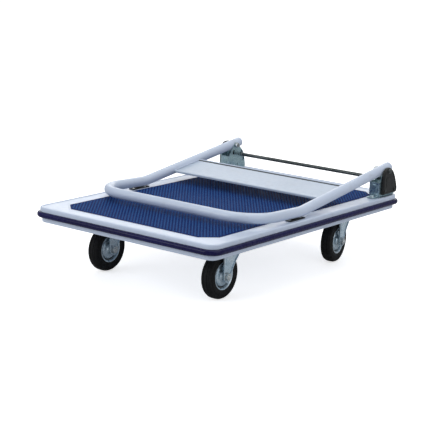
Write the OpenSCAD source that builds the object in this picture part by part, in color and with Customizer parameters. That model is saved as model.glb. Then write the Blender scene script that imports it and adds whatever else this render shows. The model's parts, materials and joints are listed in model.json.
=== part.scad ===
// Folding-handle platform trolley.
// Millimetres, +Z up. Origin on the floor under the middle of the deck.
// X runs across the deck, left is -X and front is -Y. The handle pivots stand
// at the rear (+Y) end and the folded handle lies forward over the deck.

/* [Deck] */
// Overall deck length, over the bumper
deck_l = 910; // [880:5:960]
// Overall deck width, over the bumper
deck_w = 610; // [600:5:640]
// Height of the mat's walking surface above the floor
deck_h = 187.2; // [186:0.2:190]
// Outer corner radius of the bumper
corner_r = 38; // [34:1:44]
// How far the bumper stands proud of the painted deck
bumper_proud = 8; // [6:1:9]
// Size of the cut corners of the mat
mat_cut = 38; // [20:1:60]

/* [Handle] */
// Outside diameter of the handle tube
tube_d = 28; // [26:0.5:28]
// Wall thickness of the handle tube
tube_wall = 1.6; // [1.2:0.2:2.5]
// Distance from the trolley centre line to each side tube
tube_x = 268; // [266:1:269]
// Distance of the handle pivots behind the deck centre
pivot_y = 386; // [380:1:388]
// Y position of the bend between lower tubes and hand loop
kink_y = -30; // [-60:1:0]
// Height of the tube axis at the bend, handle folded
kink_z = 203; // [202.6:0.2:206]
// Slope of the lower tubes when folded, degrees
lower_slope = 8; // [7.5:0.1:8.5]
// Rise of the hand loop when folded, degrees
loop_rise = 2; // [0:0.25:4]
// Length of the hand loop beyond the bend
loop_l = 215; // [190:1:240]
// Corner radius of the hand loop
loop_r = 95; // [60:1:110]
// Length of tube past the pivot
tube_tail = 36; // [30:1:36]
// Width of the cross plate along the tubes
plate_w = 129; // [90:1:140]
// Distance of the cross plate's front edge from the bend
plate_s = 116; // [90:1:150]

/* [Casters] */
// Wheel diameter
wheel_d = 125; // [120:1:125]
// Tyre width
tyre_w = 31; // [30:1:36]
// Distance of each caster from the centre line
caster_x = 192.5; // [180:0.5:200]
// Y of the axles of the rigid casters
rigid_y = -276.7; // [-300:1:-250]
// Y of the kingpins of the swivel casters
kingpin_y = 290.4; // [270:0.2:300]
// Trail, from kingpin to axle
trail = 28; // [24:1:30]
// Heading of the right swivel caster as parked, degrees
park_right = 8.75; // [-30:0.25:30]
// Heading of the left swivel caster as parked, degrees
park_left = 4; // [-30:0.25:30]
// Number of balls in each swivel race
ball_n = 18; // [12:1:20]

/* [Lock] */
// Diameter of the foot-operated lock bar
bar_d = 10.5; // [8:0.5:10.5]
// Turns in each return spring
spring_turns = 4; // [3:1:6]

/* [Hidden] */
NODES = [
  "deck_sheet", "deck_mat", "bumper_strip", "cross_channels", "long_channels",
  "handle_rest_pads", "pad_rivets",
  "bracket_left", "bracket_right", "bracket_bolts", "bracket_nuts",
  "side_cover_left", "side_cover_right", "cover_screws",
  "pivot_bolts", "pivot_nuts", "latch_pins", "latch_springs",
  "handle_tube", "handle_cross_plate", "tube_end_plugs", "pivot_bushes",
  "lock_bar", "latch_lever_left", "latch_lever_right", "lock_bar_clips",
  "rigid_fork_left", "rigid_fork_right",
  "swivel_plate_left", "swivel_plate_right", "kingpins", "kingpin_nuts",
  "swivel_fork_left", "swivel_fork_right", "race_balls_left", "race_balls_right",
  "caster_bolts", "caster_nuts",
  "tyre_fl", "rim_fl", "hub_bush_fl", "axle_bolt_fl", "axle_nut_fl",
  "tyre_fr", "rim_fr", "hub_bush_fr", "axle_bolt_fr", "axle_nut_fr",
  "tyre_rl", "rim_rl", "hub_bush_rl", "axle_bolt_rl", "axle_nut_rl",
  "tyre_rr", "rim_rr", "hub_bush_rr", "axle_bolt_rr", "axle_nut_rr"
];
node = "all";
$fn = 64;

paint = [0.80, 0.83, 0.90];
mat_blue = [0.16, 0.24, 0.45];
navy = [0.09, 0.10, 0.24];
zinc = [0.62, 0.69, 0.74];
black = [0.11, 0.11, 0.12];
steel = [0.36, 0.38, 0.38];

sides = [-1, 1];                     // left, right
fit = 0.02;                          // hairline gap between touching pieces

// M8 fasteners, shared by brackets and casters
m8_r = 4;
m8_hole_r = 4.3;
m8_flats = 13;

// Deck heights
half_w = deck_w / 2;                 // bumper outside, half sizes
half_l = deck_l / 2;
band_z = deck_h - 1.4;               // flat painted border
bead_z = deck_h - 0.6;               // bead round the mat
lip_z = deck_h + 0.6;                // rounded outer lip
floor_z = deck_h - 3.4;              // mat recess floor
under_z = floor_z - 1.8;             // underside of the top sheet
plate_top = deck_h - 27.2;           // top face of caster plates

tube_r = tube_d / 2;
lower_l = (pivot_y - kink_y) / cos(lower_slope);  // bend to pivot along the tube
pivot_z = kink_z + lower_l * sin(lower_slope);

// Caster plates
wheel_r = wheel_d / 2;
plate_t = 3;
rigid_offset = 22;                   // rigid plate centre behind its axle
plate_ys = [rigid_y + rigid_offset, kingpin_y];

// ------------------------------------------------------------ helpers
module up(z) translate([0, 0, z]) children();
module both() {
  children();
  mirror([1, 0, 0]) children();
}

// rods along each axis, between two coordinates
module x_rod(radius, x0, x1)
  translate([x0, 0, 0]) rotate([0, 90, 0]) cylinder(h = x1 - x0, r = radius);
module y_rod(radius, y0, y1)
  translate([0, y0, 0]) rotate([-90, 0, 0]) cylinder(h = y1 - y0, r = radius);
module z_rod(radius, z0, z1) up(z0) cylinder(h = z1 - z0, r = radius);

module hex_bar(flats, height) cylinder(h = height, r = flats / 2 / cos(30), $fn = 6);
module x_hex(flats, x0, x1)
  translate([x0, 0, 0]) rotate([0, 90, 0]) hex_bar(flats, x1 - x0);
module flange_nut(bolt_r, flats, height, flange_r, flange_h, flange_z = 0) difference() {
  union() {
    hex_bar(flats, height);
    z_rod(flange_r, flange_z, flange_z + flange_h);
  }
  z_rod(bolt_r + fit, -1, height + 1);
}

// extrude a flat shape from z0 up to z1
module slab(z0, z1) up(z0) linear_extrude(z1 - z0) children();

// rectangles given by half sizes, with rounded and with cut corners
module round_rect(half_x, half_y, radius) {
  square([2 * (half_x - radius), 2 * half_y], center = true);
  square([2 * half_x, 2 * (half_y - radius)], center = true);
  for (sx = sides, sy = sides)
    translate([sx * (half_x - radius), sy * (half_y - radius)]) circle(radius);
}
module cut_rect(x, y, cut)
  polygon([[-x + cut, -y], [x - cut, -y], [x, -y + cut], [x, y - cut],
           [x - cut, y], [-x + cut, y], [-x, y - cut], [-x, -y + cut]]);

// ------------------------------------------------------------ deck
sheet_in = 16;                       // insets from the bumper outside
border_in = 14;
mat_in = 54.5;
skirt_in = 13.4;
mat_gap = 0.5;                       // between mat and border
bead_w = 6;                          // mat edge to outside of the bead
skirt_z = deck_h - 41;               // bottom of the skirt
skirt_t = 1.7;
step_z = deck_h - 12.2;              // step out over the bumper
lip_r = 4;
curl_r = 3.2;                        // curled bottom edge of the skirt
curl_bore_r = 1.6;
nose_r = 6.4;                        // bumper nose, two stacked rounds
nose_top = deck_h - 18.8;
nose_low = deck_h - 20.6;

// sweep a section round the deck; the section's x is measured outward
// from the corner centres and its y is height
module deck_ring() {
  x = half_w - corner_r;
  y = half_l - corner_r;
  for (turn = [0, 180]) rotate([0, 0, turn]) {
    translate([x, y, 0]) rotate([90, 0, 0]) linear_extrude(2 * y) children();
    translate([-x, y, 0]) rotate([90, 0, 90]) linear_extrude(2 * x) children();
  }
  for (corner = [[x, y, 0], [-x, y, 90], [-x, -y, 180], [x, -y, 270]])
    translate([corner[0], corner[1], 0]) rotate([0, 0, corner[2]])
      rotate_extrude(angle = 90) children();
}

// mat shape grown all round; 0.586 keeps the 45 degree cuts parallel
module mat_outline(grow)
  cut_rect(half_w - mat_in + grow, half_l - mat_in + grow, mat_cut + grow * 0.586);

module deck_sheet() color(paint) difference() {
  union() {
    slab(under_z, floor_z) round_rect(half_w - sheet_in, half_l - sheet_in, corner_r - sheet_in);
    slab(under_z, band_z) difference() {
      round_rect(half_w - border_in, half_l - border_in, corner_r - border_in);
      mat_outline(mat_gap);
    }
    slab(under_z + 1, bead_z) difference() {
      mat_outline(bead_w);
      mat_outline(mat_gap);
    }
    deck_ring() lip_section();
  }
  both() bracket_bolt_row() z_rod(m8_hole_r, under_z - 1, under_z + 11);
}

// outer lip, step over the bumper and skirt with its curled edge
module lip_section() {
  paint_x = corner_r - bumper_proud;
  skirt_x = corner_r - skirt_in;
  inner_x = corner_r - 16.5;
  curl_x = skirt_x - curl_r;
  curl_z = skirt_z + curl_r;
  difference() {
    union() {
      polygon([[inner_x - 4, under_z], [paint_x - 1.8, under_z - 4], [paint_x, step_z],
               [paint_x, lip_z - lip_r], [inner_x + 1.6, lip_z - lip_r],
               [inner_x, band_z], [inner_x - 4, band_z]]);
      translate([paint_x - lip_r, lip_z - lip_r]) circle(lip_r);
      translate([skirt_x - skirt_t, skirt_z + 2]) square([skirt_t, under_z - skirt_z - 1]);
      translate([skirt_x - skirt_t, step_z]) square([paint_x - skirt_x + skirt_t, 3]);
      translate([curl_x, curl_z]) circle(curl_r);
    }
    translate([curl_x, curl_z]) circle(curl_bore_r);
    translate([skirt_x - 8, curl_z]) square([4.8, 8]);
  }
}

module deck_mat() color(mat_blue) slab(floor_z, deck_h) mat_outline(0);

module bumper_strip() color(navy) deck_ring() {
  for (z = [nose_top, nose_low]) translate([corner_r - nose_r, z]) circle(nose_r);
  translate([corner_r - 6.6, nose_low]) square([6.6, nose_top - nose_low]);
  // root, from the skirt to the nose
  translate([corner_r - skirt_in + fit, nose_low - nose_r])
    square([skirt_in - nose_r, nose_top - nose_low + 2 * nose_r]);
}

// Channels under the deck, open side up
channel_h = under_z - plate_top;
cross_l = 500;
cross_w = 98;
cross_t = 2;
long_x = 110;
long_w = 60;
long_t = 1.8;
long_gap = 1;                        // end gap to the cross channels
kingpin_hole_r = 13;

module channel(length, width, height, wall) difference() {
  translate([-length / 2, -width / 2, 0]) cube([length, width, height]);
  translate([-length / 2 - 1, -width / 2 + wall, wall])
    cube([length + 2, width - 2 * wall, height]);
}
module plate_holes()                 // bolt pattern about a caster plate centre
  for (sx = sides, sy = sides) translate([sx * 33, sy * 36, 0]) children();

module cross_channels() color(paint) for (y = plate_ys) difference() {
  translate([0, y, plate_top]) channel(cross_l, cross_w, channel_h, cross_t);
  for (side = sides) translate([side * caster_x, y, plate_top]) {
    plate_holes() z_rod(m8_hole_r, -1, 4);
    if (y == kingpin_y) z_rod(kingpin_hole_r, -1, 4);
  }
}
module long_channels() color(paint) for (side = sides) {
  y0 = plate_ys[0] + cross_w / 2 + long_gap;
  y1 = plate_ys[1] - cross_w / 2 - long_gap;
  translate([side * long_x, (y0 + y1) / 2, plate_top + cross_t]) rotate([0, 0, 90])
    channel(y1 - y0, long_w, channel_h - cross_t, long_t);
}

// Pads under the side tubes of the folded hand loop
pad_h = kink_z - tube_r - 0.3 - band_z;
pad_floor = 1.2;                     // left under each rivet head
rivet_ys = [-24, 24];

module at_pads() both() translate([tube_x + 1, kink_y - 24, band_z]) children();
module handle_rest_pads() color(black) at_pads() difference() {
  linear_extrude(pad_h) round_rect(10.5, 35, 4);
  for (y = rivet_ys) translate([0, y, 0]) {
    z_rod(2, -1, 19);
    z_rod(4.2, pad_floor, 21.2);
  }
}
module pad_rivets() color(zinc) at_pads() for (y = rivet_ys) translate([0, y, 0]) {
  z_rod(1.95, 0, pad_floor + 0.05);
  z_rod(3.8, pad_floor + fit, pad_floor + 1.02);
}

// ------------------------------------------------------------ brackets
// Side shapes of brackets, covers and latch are drawn as [y, z] from the pivot.
cheek_in = tube_r + 0.5;             // cheek inner face from tube axis
cheek_t = 2.5;
cheek_out = cheek_in + cheek_t;
base_z = bead_z;                     // bracket base underside
base_t = 2.4;
base_top = base_z + base_t;
base_y = base_z - pivot_z;           // base underside in the [y, z] side shapes
bracket_front = -34;                 // y from the pivot
bracket_rear = 51;
corner_y = 43;                       // where the rear corner cuts start
bolt_ys = [-46, -10, 38];
pivot_bolt_r = 5;
pivot_bore_r = pivot_bolt_r + 0.15;
latch_pin_r = 4;
latch_bore_r = latch_pin_r + 0.05;
latch = [-20, -60.5];                // latch lever pin
bar_off = 59.1;                      // lever pin to lock bar
bar_a = 28.3;                        // and its angle above level
bar = latch + bar_off * [cos(bar_a), sin(bar_a)];
sweep_r = 40.3;                      // clear of the tube tail as it swings

cheek_points = [
  [bracket_front, base_y], [bracket_front, -30], [-7, 5.3], [6, 6.5], [37, -22],
  [46.5, -46], [bracket_rear, -66], [bracket_rear, base_y + 4], [corner_y, base_y]];
window_points = [[-17, -25], [-12, -14], [18, -14], [33, -29], [33, -36], [20, -32]];

module at_pivot(point = [0, 0])
  translate([0, pivot_y + point[0], pivot_z + point[1]]) children();
// stand a [y, z] shape across the trolley from x
module stand(x) translate([x, 0, 0]) rotate([90, 0, 90]) children();
module side_plate(x0, x1) at_pivot() stand(x0) linear_extrude(x1 - x0) children();

module bracket_bolt_row()            // right side
  for (y = bolt_ys) translate([tube_x, pivot_y + y, 0]) children();

// curved slot for the lock bar, centred on the latch pin
module bar_slot() {
  slot_r = bar_d / 2 + 1;
  start = bar_a - 14;
  end = bar_a + 9;
  depth = 60;
  rotate([0, 0, start]) rotate_extrude(angle = end - start)
    translate([bar_off - slot_r, 0]) square([2 * slot_r, depth]);
  for (a = [start, end]) rotate([0, 0, a])
    translate([bar_off, 0, 0]) cylinder(h = depth, r = slot_r);
}

module bracket_right() color(zinc) difference() {
  inner_x = tube_x - cheek_out;
  union() {
    for (x = [inner_x, tube_x + cheek_in]) side_plate(x, x + cheek_t) {
      polygon(cheek_points);
      circle(9);
    }
    // front web
    translate([inner_x, pivot_y + bracket_front, base_z])
      cube([2 * cheek_out, cheek_t, pivot_z - 32 - base_z]);
    // base plate with front tongue
    translate([tube_x, pivot_y, base_z]) linear_extrude(base_t)
      polygon([[-cheek_out, bracket_front], [cheek_out, bracket_front], [cheek_out, corner_y],
               [8, bracket_rear], [-cheek_out, bracket_rear]]);
    translate([tube_x - 13, pivot_y - 57, base_z]) cube([26, 24, base_t]);
  }
  at_pivot() x_rod(pivot_bore_r, tube_x - 20, tube_x + 20);
  at_pivot(latch) x_rod(latch_bore_r, tube_x - 20, tube_x + 20);
  at_pivot(latch) stand(tube_x - 30) bar_slot();
  bracket_bolt_row() z_rod(m8_hole_r, base_z - 1, base_z + 4);
  // window in the inner cheek, below the pivot
  side_plate(inner_x - 1, inner_x + cheek_t + 1) polygon(window_points);
  // slit that parts the rear tab of the inner cheek
  translate([inner_x - 1, pivot_y + 9, base_top]) cube([cheek_t + 2, 1.8, 15]);
}
module bracket_left() mirror([1, 0, 0]) bracket_right();

module bracket_bolts() color(zinc) both() bracket_bolt_row() {
  z_rod(m8_r, under_z - 9, base_top + fit);
  z_rod(7.4, base_top, base_top + 0.9);
  up(base_top) hex_bar(12.2, 4);
}
module bracket_nuts() color(zinc) both() bracket_bolt_row()
  up(under_z - 6.8) flange_nut(m8_r, m8_flats, 6.8, flange_r = 8.6, flange_h = 1.2, flange_z = 5.6);

// Side covers
cover_in = tube_x + cheek_out + 0.2;
cover_x = half_w - 10;               // outer face
cover_screws_at = [[-17, -55], [36, -57]];
// the rounded outer edge: [step in from the outer face, inset of the outline]
cover_steps = [[5.6, 0], [2.6, 1.2], [0, 2.9]];

// point at t on the quadratic curve from start to end
function curve(start, pull, end, t) =
  (1 - t) * (1 - t) * start + 2 * t * (1 - t) * pull + t * t * end;

// rounded shield shape, set in by inset
module cover_outline(inset) {
  front = -27 + inset;
  rear = 50 - inset;
  bottom = -67.5 + inset;
  top = 9.4 - inset;
  crown = [2, top];
  front_shoulder = [front, -20];
  rear_shoulder = [37 - inset, -20];
  polygon(concat(
    [[front + 2, bottom], [front, bottom + 2], front_shoulder],
    [for (i = [1 : 10]) curve(front_shoulder, [front + 3, top], crown, i / 10)],
    [for (i = [1 : 10]) curve(crown, [23 - inset, top], rear_shoulder, i / 10)],
    [for (i = [1 : 6]) curve(rear_shoulder, [46 - inset, -37], [rear, bottom + 12], i / 6)],
    [[rear, bottom + 5], [rear - 5, bottom]]));
}
module side_cover_right() color(black) difference() {
  for (step = cover_steps) side_plate(cover_in, cover_x - step[0]) cover_outline(step[1]);
  // hollow, less the bosses
  difference() {
    side_plate(cover_in - 1, cover_x - 2) cover_outline(4.6);
    at_pivot() x_rod(8, tube_x, cover_x);
    for (p = cover_screws_at) at_pivot(p) x_rod(4, tube_x, cover_x);
  }
  at_pivot() x_rod(pivot_bore_r, tube_x, cover_x + 2);
  for (p = cover_screws_at) at_pivot(p) x_rod(1.9, tube_x, cover_x + 2);
}
module side_cover_left() mirror([1, 0, 0]) side_cover_right();
module cover_screws() color(steel) both() for (p = cover_screws_at) at_pivot(p) {
  x_rod(1.85, cover_in + 0.1, cover_x + 0.1);
  x_rod(3.6, cover_x + fit, cover_x + 1.8);
}

module pivot_bolts() color(steel) both() at_pivot() {
  x_rod(pivot_bolt_r, tube_x - cheek_out - 9, cover_x + 0.2);
  x_rod(6.6, cover_x + fit, cover_x + 1.2);
  x_hex(10, cover_x + 0.1, cover_x + 4.7);
}
module pivot_nuts() color(zinc) both() at_pivot()
  translate([tube_x - cheek_out - fit, 0, 0]) rotate([0, -90, 0])
    flange_nut(pivot_bolt_r, 13, 7.2, flange_r = 8, flange_h = 1.4);

// ------------------------------------------------------------ handle
bush_hole_r = 7;                     // cross hole in the tube for the pivot bush

// frame at the bend, tilted so that Y runs along the tube
module at_bend(tilt) translate([0, kink_y, kink_z]) rotate([tilt, 0, 0]) children();

// right half of the tube's path as a solid, its end run on by extra
module half_path(radius, extra) {
  at_bend(-loop_rise) {
    translate([0, -loop_l, 0]) x_rod(radius, 0, tube_x - loop_r);
    translate([tube_x - loop_r, -loop_l + loop_r, 0]) rotate([0, 0, -90])
      rotate_extrude(angle = 90) translate([loop_r, 0]) circle(radius);
    translate([tube_x, 0, 0]) y_rod(radius, -loop_l + loop_r, 0);
    translate([tube_x, 0, 0]) sphere(r = radius + 0.02);
  }
  at_bend(lower_slope) translate([tube_x, 0, 0]) y_rod(radius, 0, lower_l + tube_tail + extra);
}
module handle_tube() color(paint) both() difference() {
  half_path(tube_r, 0);
  half_path(tube_r - tube_wall, 1);
  at_pivot() x_rod(bush_hole_r, tube_x - 20, tube_x + 20);
}

// Cross plate, in the lower tubes' frame
plate_end = plate_s + plate_w;       // rear edge
sheet_t = 1.6;
roll_r = 2.5;                        // rounded front and rear edges
roll_z = sheet_t - roll_r;
roll_box = 3;                        // box that keeps the outer quarter of a roll
flange_z = [-4.8, -0.8];             // down-turned edges
ridge_y = [plate_end - 8, plate_end - 2.6];

// block from tube axis to tube axis; y and z are [from, to]
module cross_strip(y, z)
  translate([-tube_x, y[0], z[0]]) cube([2 * tube_x, y[1] - y[0], z[1] - z[0]]);

module handle_cross_plate() color(paint) at_bend(lower_slope) difference() {
  union() {
    cross_strip([plate_s + roll_r, plate_end - roll_r], [0, sheet_t]);
    // [roll centre, front of its box]
    for (roll = [[plate_s + roll_r, plate_s + roll_r - roll_box],
                 [plate_end - roll_r, plate_end - roll_r]]) intersection() {
      translate([0, roll[0], roll_z]) x_rod(roll_r, -tube_x, tube_x);
      cross_strip([roll[1], roll[1] + roll_box], [roll_z, roll_z + roll_box]);
    }
    cross_strip([plate_s, plate_s + sheet_t], flange_z);
    cross_strip([plate_end - sheet_t, plate_end], flange_z);
    cross_strip(ridge_y, [1.5, 2.7]);
  }
  // trim the ends to the tubes
  both() translate([tube_x, 0, 0]) y_rod(tube_r + fit, plate_s - 5, plate_end + 5);
  both() translate([tube_x, plate_s - 5, -20]) cube([20, plate_w + 10, 40]);
}
module tube_end_plugs() color(paint) at_bend(lower_slope) both()
  translate([tube_x, lower_l + tube_tail, 0]) rotate([-90, 0, 0]) {
    up(0.01) cylinder(h = 1.2, r1 = 13.6, r2 = 12.6);
    z_rod(tube_r - tube_wall - 0.03, -8, 0.1);
  }
module pivot_bushes() color(black) at_pivot() both() difference() {
  x_rod(bush_hole_r - 0.03, tube_x - tube_r - 0.3, tube_x + tube_r + 0.3);
  x_rod(pivot_bolt_r + 0.06, tube_x - 20, tube_x + 20);
}

// ------------------------------------------------------------ foot lock
lever_r = 8;                         // end radius and half width of the lever
lever_half_t = 2.5;
collar_r = 6.5;
collar_gap = 0.3;
spring_r = 4.6;                      // coil centre line
spring_wire_r = 0.8;
pocket_points = [[-12, -30], [-10, -50], [13, -47.5], [16.5, -30]];

module lock_bar() color(steel) at_pivot(bar)
  x_rod(bar_d / 2, -(tube_x + cheek_out), tube_x + cheek_out);

module lever_outline() difference() {
  union() {
    for (p = [latch, bar]) translate(p) circle(lever_r);
    translate(latch) rotate([0, 0, bar_a]) translate([0, -lever_r]) square([bar_off, 2 * lever_r]);
  }
  circle(sweep_r);
  // pocket under the tube tail, leaving the tooth behind it
  polygon(pocket_points);
}
module latch_lever_right() color(zinc) difference() {
  side_plate(tube_x - lever_half_t, tube_x + lever_half_t) lever_outline();
  at_pivot(latch) x_rod(latch_bore_r, tube_x - 5, tube_x + 5);
  at_pivot(bar) x_rod(bar_d / 2 + fit, tube_x - 5, tube_x + 5);
}
module latch_lever_left() mirror([1, 0, 0]) latch_lever_right();

module lock_bar_clips() color(steel) at_pivot(bar) both() difference() {
  x_rod(7, tube_x - cheek_out - 3.2, tube_x - cheek_out - 0.6);
  x_rod(bar_d / 2 + fit, 0, tube_x);
}
module latch_pins() color(zinc) at_pivot(latch) both() {
  lever_gap = lever_half_t + collar_gap;
  x_rod(latch_pin_r, tube_x - cheek_out - 1, tube_x + cheek_out + 0.1);
  x_rod(collar_r, tube_x - cheek_out - 2.6, tube_x - cheek_out - 0.05);
  // collars that keep the lever in the middle
  x_rod(collar_r, tube_x - cheek_in + collar_gap, tube_x - lever_gap);
  x_rod(collar_r, tube_x + lever_gap, tube_x + cheek_in - collar_gap);
}

// coil spring: rings of points along a helix
module coil(radius, wire_r, height, turns) {
  per_turn = 18;
  sides_n = 8;
  steps = turns * per_turn;
  points = [
    for (i = [0 : steps])
      let (around = 360 * i / per_turn, z = wire_r + (height - 2 * wire_r) * i / steps)
      for (j = [0 : sides_n - 1])
        let (b = 360 * j / sides_n, reach = radius + wire_r * cos(b))
        [reach * cos(around), reach * sin(around), z + wire_r * sin(b)]];
  faces = concat(
    [[for (j = [0 : sides_n - 1]) j]],
    [for (i = [0 : steps - 1]) for (j = [0 : sides_n - 1])
      let (this = i * sides_n + j, next = i * sides_n + (j + 1) % sides_n)
      [next, this, this + sides_n, next + sides_n]],
    [[for (j = [sides_n - 1 : -1 : 0]) steps * sides_n + j]]);
  polyhedron(points, faces);
}
// from the bracket base up to the underside of the lever
spring_h = pivot_z + latch[1] + (8 - latch[0]) * tan(bar_a) - 9.3 - base_top;
module latch_springs() color(steel) both() translate([tube_x, pivot_y + 13, base_top + 0.05])
  coil(spring_r, spring_wire_r, spring_h, spring_turns);

// ------------------------------------------------------------ casters
axle_r = 6;
leg_in = 21;                         // inner face of a fork leg
leg_out = 24;
leg_rim = 2.2;                       // raised edge of a leg
kingpin_r = 6;
race_z = 150;                        // centre height of the race balls
race_r = 26;
ball_r = 3.2;
cup_r = 33;                          // race cups, outside and hollow
cup_bore_r = 20;
crown_z = 140;                       // underside of the swivel fork's crown
crown_t = 3;
crown_r = 38;
swivel_leg_top = crown_z + 0.5;
leg_front = 18.5;                    // top of a leg, ahead of the axle

// side view of a fork leg: y measured from the axle, z from the floor
module leg_outline(top, inset) {
  rise = top - 140;
  polygon([[-13.9 + inset, wheel_r + 3], [-15 + inset, wheel_r + 30], [-16 + inset, 114],
           [-leg_front - rise * 0.05 + inset, top], [62 + rise * 0.1 - inset, top],
           [50 - inset, 115], [34 - inset, 97], [25 - inset, 84], [16.6 - inset, wheel_r + 4]]);
  translate([1.5, wheel_r]) circle(16 - inset);
}
module fork_leg(top) difference() {
  leg_t = leg_out - leg_in;
  union() {
    linear_extrude(leg_t) leg_outline(top, 0);
    linear_extrude(leg_t + leg_rim) difference() {
      leg_outline(top, 0);
      leg_outline(top + 9, 2.6);
    }
  }
  translate([0, wheel_r, 0]) {
    z_rod(axle_r + 0.1, -1, 9);
    z_rod(11.5, leg_t - 0.01, leg_t + 3.99);
  }
}
module fork_legs(top) both() stand(leg_in) fork_leg(top);
module caster_plate(y) translate([0, y, plate_top - plate_t]) difference() {
  linear_extrude(plate_t) round_rect(42, 46, 7);
  plate_holes() z_rod(m8_hole_r, -1, 4);
}

// side is -1 for left and 1 for right
module rigid_fork(side) color(zinc) translate([side * caster_x, rigid_y, 0]) {
  caster_plate(rigid_offset);
  fork_legs(plate_top - plate_t);
}
module rigid_fork_left() rigid_fork(-1);
module rigid_fork_right() rigid_fork(1);

module race_groove() up(race_z) rotate_extrude() translate([race_r, 0]) circle(ball_r + 0.05);

module swivel_plate(side) color(zinc) translate([side * caster_x, kingpin_y, 0]) difference() {
  union() {
    caster_plate(0);
    z_rod(cup_r, race_z + 0.5, plate_top - plate_t + 0.1);
  }
  race_groove();
  z_rod(cup_bore_r, race_z - 1, race_z + 4.5);
  z_rod(kingpin_r + 0.05, 140, 180);
}
module swivel_plate_left() swivel_plate(-1);
module swivel_plate_right() swivel_plate(1);

module kingpins() color(zinc) both() translate([caster_x, kingpin_y, 0]) {
  z_rod(kingpin_r, 130, plate_top + 1);
  up(plate_top + fit) cylinder(h = 4.5, r1 = 11, r2 = 8.5);
}
module kingpin_nuts() color(zinc) both() translate([caster_x, kingpin_y, 131])
  flange_nut(kingpin_r, 19, 8.3, flange_r = 11.5, flange_h = 1.8, flange_z = 7);

// everything that swivels is drawn with the kingpin on the Z axis
module at_swivel(side) translate([side * caster_x, kingpin_y, 0])
  rotate([0, 0, side > 0 ? park_right : park_left]) children();

module swivel_fork(side) color(zinc) at_swivel(side) difference() {
  union() {
    translate([0, -trail, 0]) fork_legs(swivel_leg_top);
    z_rod(crown_r, crown_z, crown_z + crown_t);
    translate([-leg_out, -trail - leg_front, crown_z]) cube([2 * leg_out, 80.5, crown_t]);
    z_rod(cup_r, crown_z + 2.5, race_z - 0.5);
  }
  race_groove();
  z_rod(cup_bore_r, crown_z + 4.5, crown_z + 16.5);
  z_rod(kingpin_r + 0.06, 130, 160);
}
module swivel_fork_left() swivel_fork(-1);
module swivel_fork_right() swivel_fork(1);

module race_balls(side) color(steel) at_swivel(side) for (i = [0 : ball_n - 1])
  rotate([0, 0, i * 360 / ball_n]) translate([race_r, 0, race_z]) sphere(ball_r);
module race_balls_left() race_balls(-1);
module race_balls_right() race_balls(1);

module all_plate_holes() for (side = sides, y = plate_ys)
  translate([side * caster_x, y, plate_top]) plate_holes() children();
module caster_bolts() color(zinc) all_plate_holes() {
  z_rod(m8_r, -3.1, 9.9);
  up(-8.4) rotate([0, 0, 30]) hex_bar(m8_flats, 5.38);
}
module caster_nuts() color(zinc) all_plate_holes()
  up(cross_t) flange_nut(m8_r, m8_flats, 6.5, flange_r = 8, flange_h = 1.4);

// ------------------------------------------------------------ wheels
// Drawn with the axle along X through the origin.
tyre_half = tyre_w / 2;

// half profiles, [radius, distance from the mid plane]
tyre_profile = [
  [35.3, 12], [37.3, 13.9], [41, tyre_half - 0.6], [46, tyre_half], [55, tyre_half],
  [wheel_r - 3, tyre_half - 2.6], [wheel_r - 1.2, tyre_half - 5], [wheel_r, 6]];
rim_profile = [
  [10, 17], [13.5, 17], [14.5, 14.5], [20, 12.5], [26.2, 11.6], [28, 9.8], [28.8, 3.6],
  [30.2, 2.6], [31.8, 3.6], [32.8, 11], [34.2, 14.2], [36.6, 15.2], [37.4, 14.7],
  [37.1, 13.9], [35.22, 12.1], [35.1, 10]];
// grooves on each side of the tyre: [radius, distance from mid plane, section radius]
tyre_grooves = [
  [52.5, tyre_half + 0.2, 1.3], [47.5, tyre_half + 0.2, 0.9], [wheel_r + 0.2, 5, 1.2]];

// turn a half profile together with its mirror image
module turned(profile) rotate_extrude() polygon(concat(
  profile,
  [for (i = [len(profile) - 1 : -1 : 0]) [profile[i][0], -profile[i][1]]]));

module tyre() color(black) rotate([0, 90, 0]) difference() {
  turned(tyre_profile);
  for (side = sides, groove = tyre_grooves)
    rotate_extrude() translate([groove[0], side * groove[1]]) circle(groove[2]);
}
module rim() color(zinc) rotate([0, 90, 0]) turned(rim_profile);
module hub_bush() color(zinc) difference() {
  union() {
    x_rod(9.97, -19.5, 19.5);
    for (x = [-20.8, 17.3]) x_rod(11.5, x, x + 3.5);
  }
  x_rod(axle_r + 0.05, -30, 30);
}
module axle_bolt() color(zinc) {
  x_rod(axle_r, -leg_out - 0.1, leg_out + 9.5);
  x_hex(18, -leg_out - 6.4, -leg_out - fit);
}
module axle_nut() color(zinc) translate([leg_out + fit, 0, 0]) rotate([0, 90, 0])
  flange_nut(axle_r, 18, 8, flange_r = 11, flange_h = 1.2);

// wheel places: front or rear, left or right
module at_fl() translate([-caster_x, rigid_y, wheel_r]) children();
module at_fr() translate([caster_x, rigid_y, wheel_r]) children();
module at_rl() at_swivel(-1) translate([0, -trail, wheel_r]) children();
module at_rr() at_swivel(1) translate([0, -trail, wheel_r]) children();

function shown(name) = node == "all" || node == name;

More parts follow.
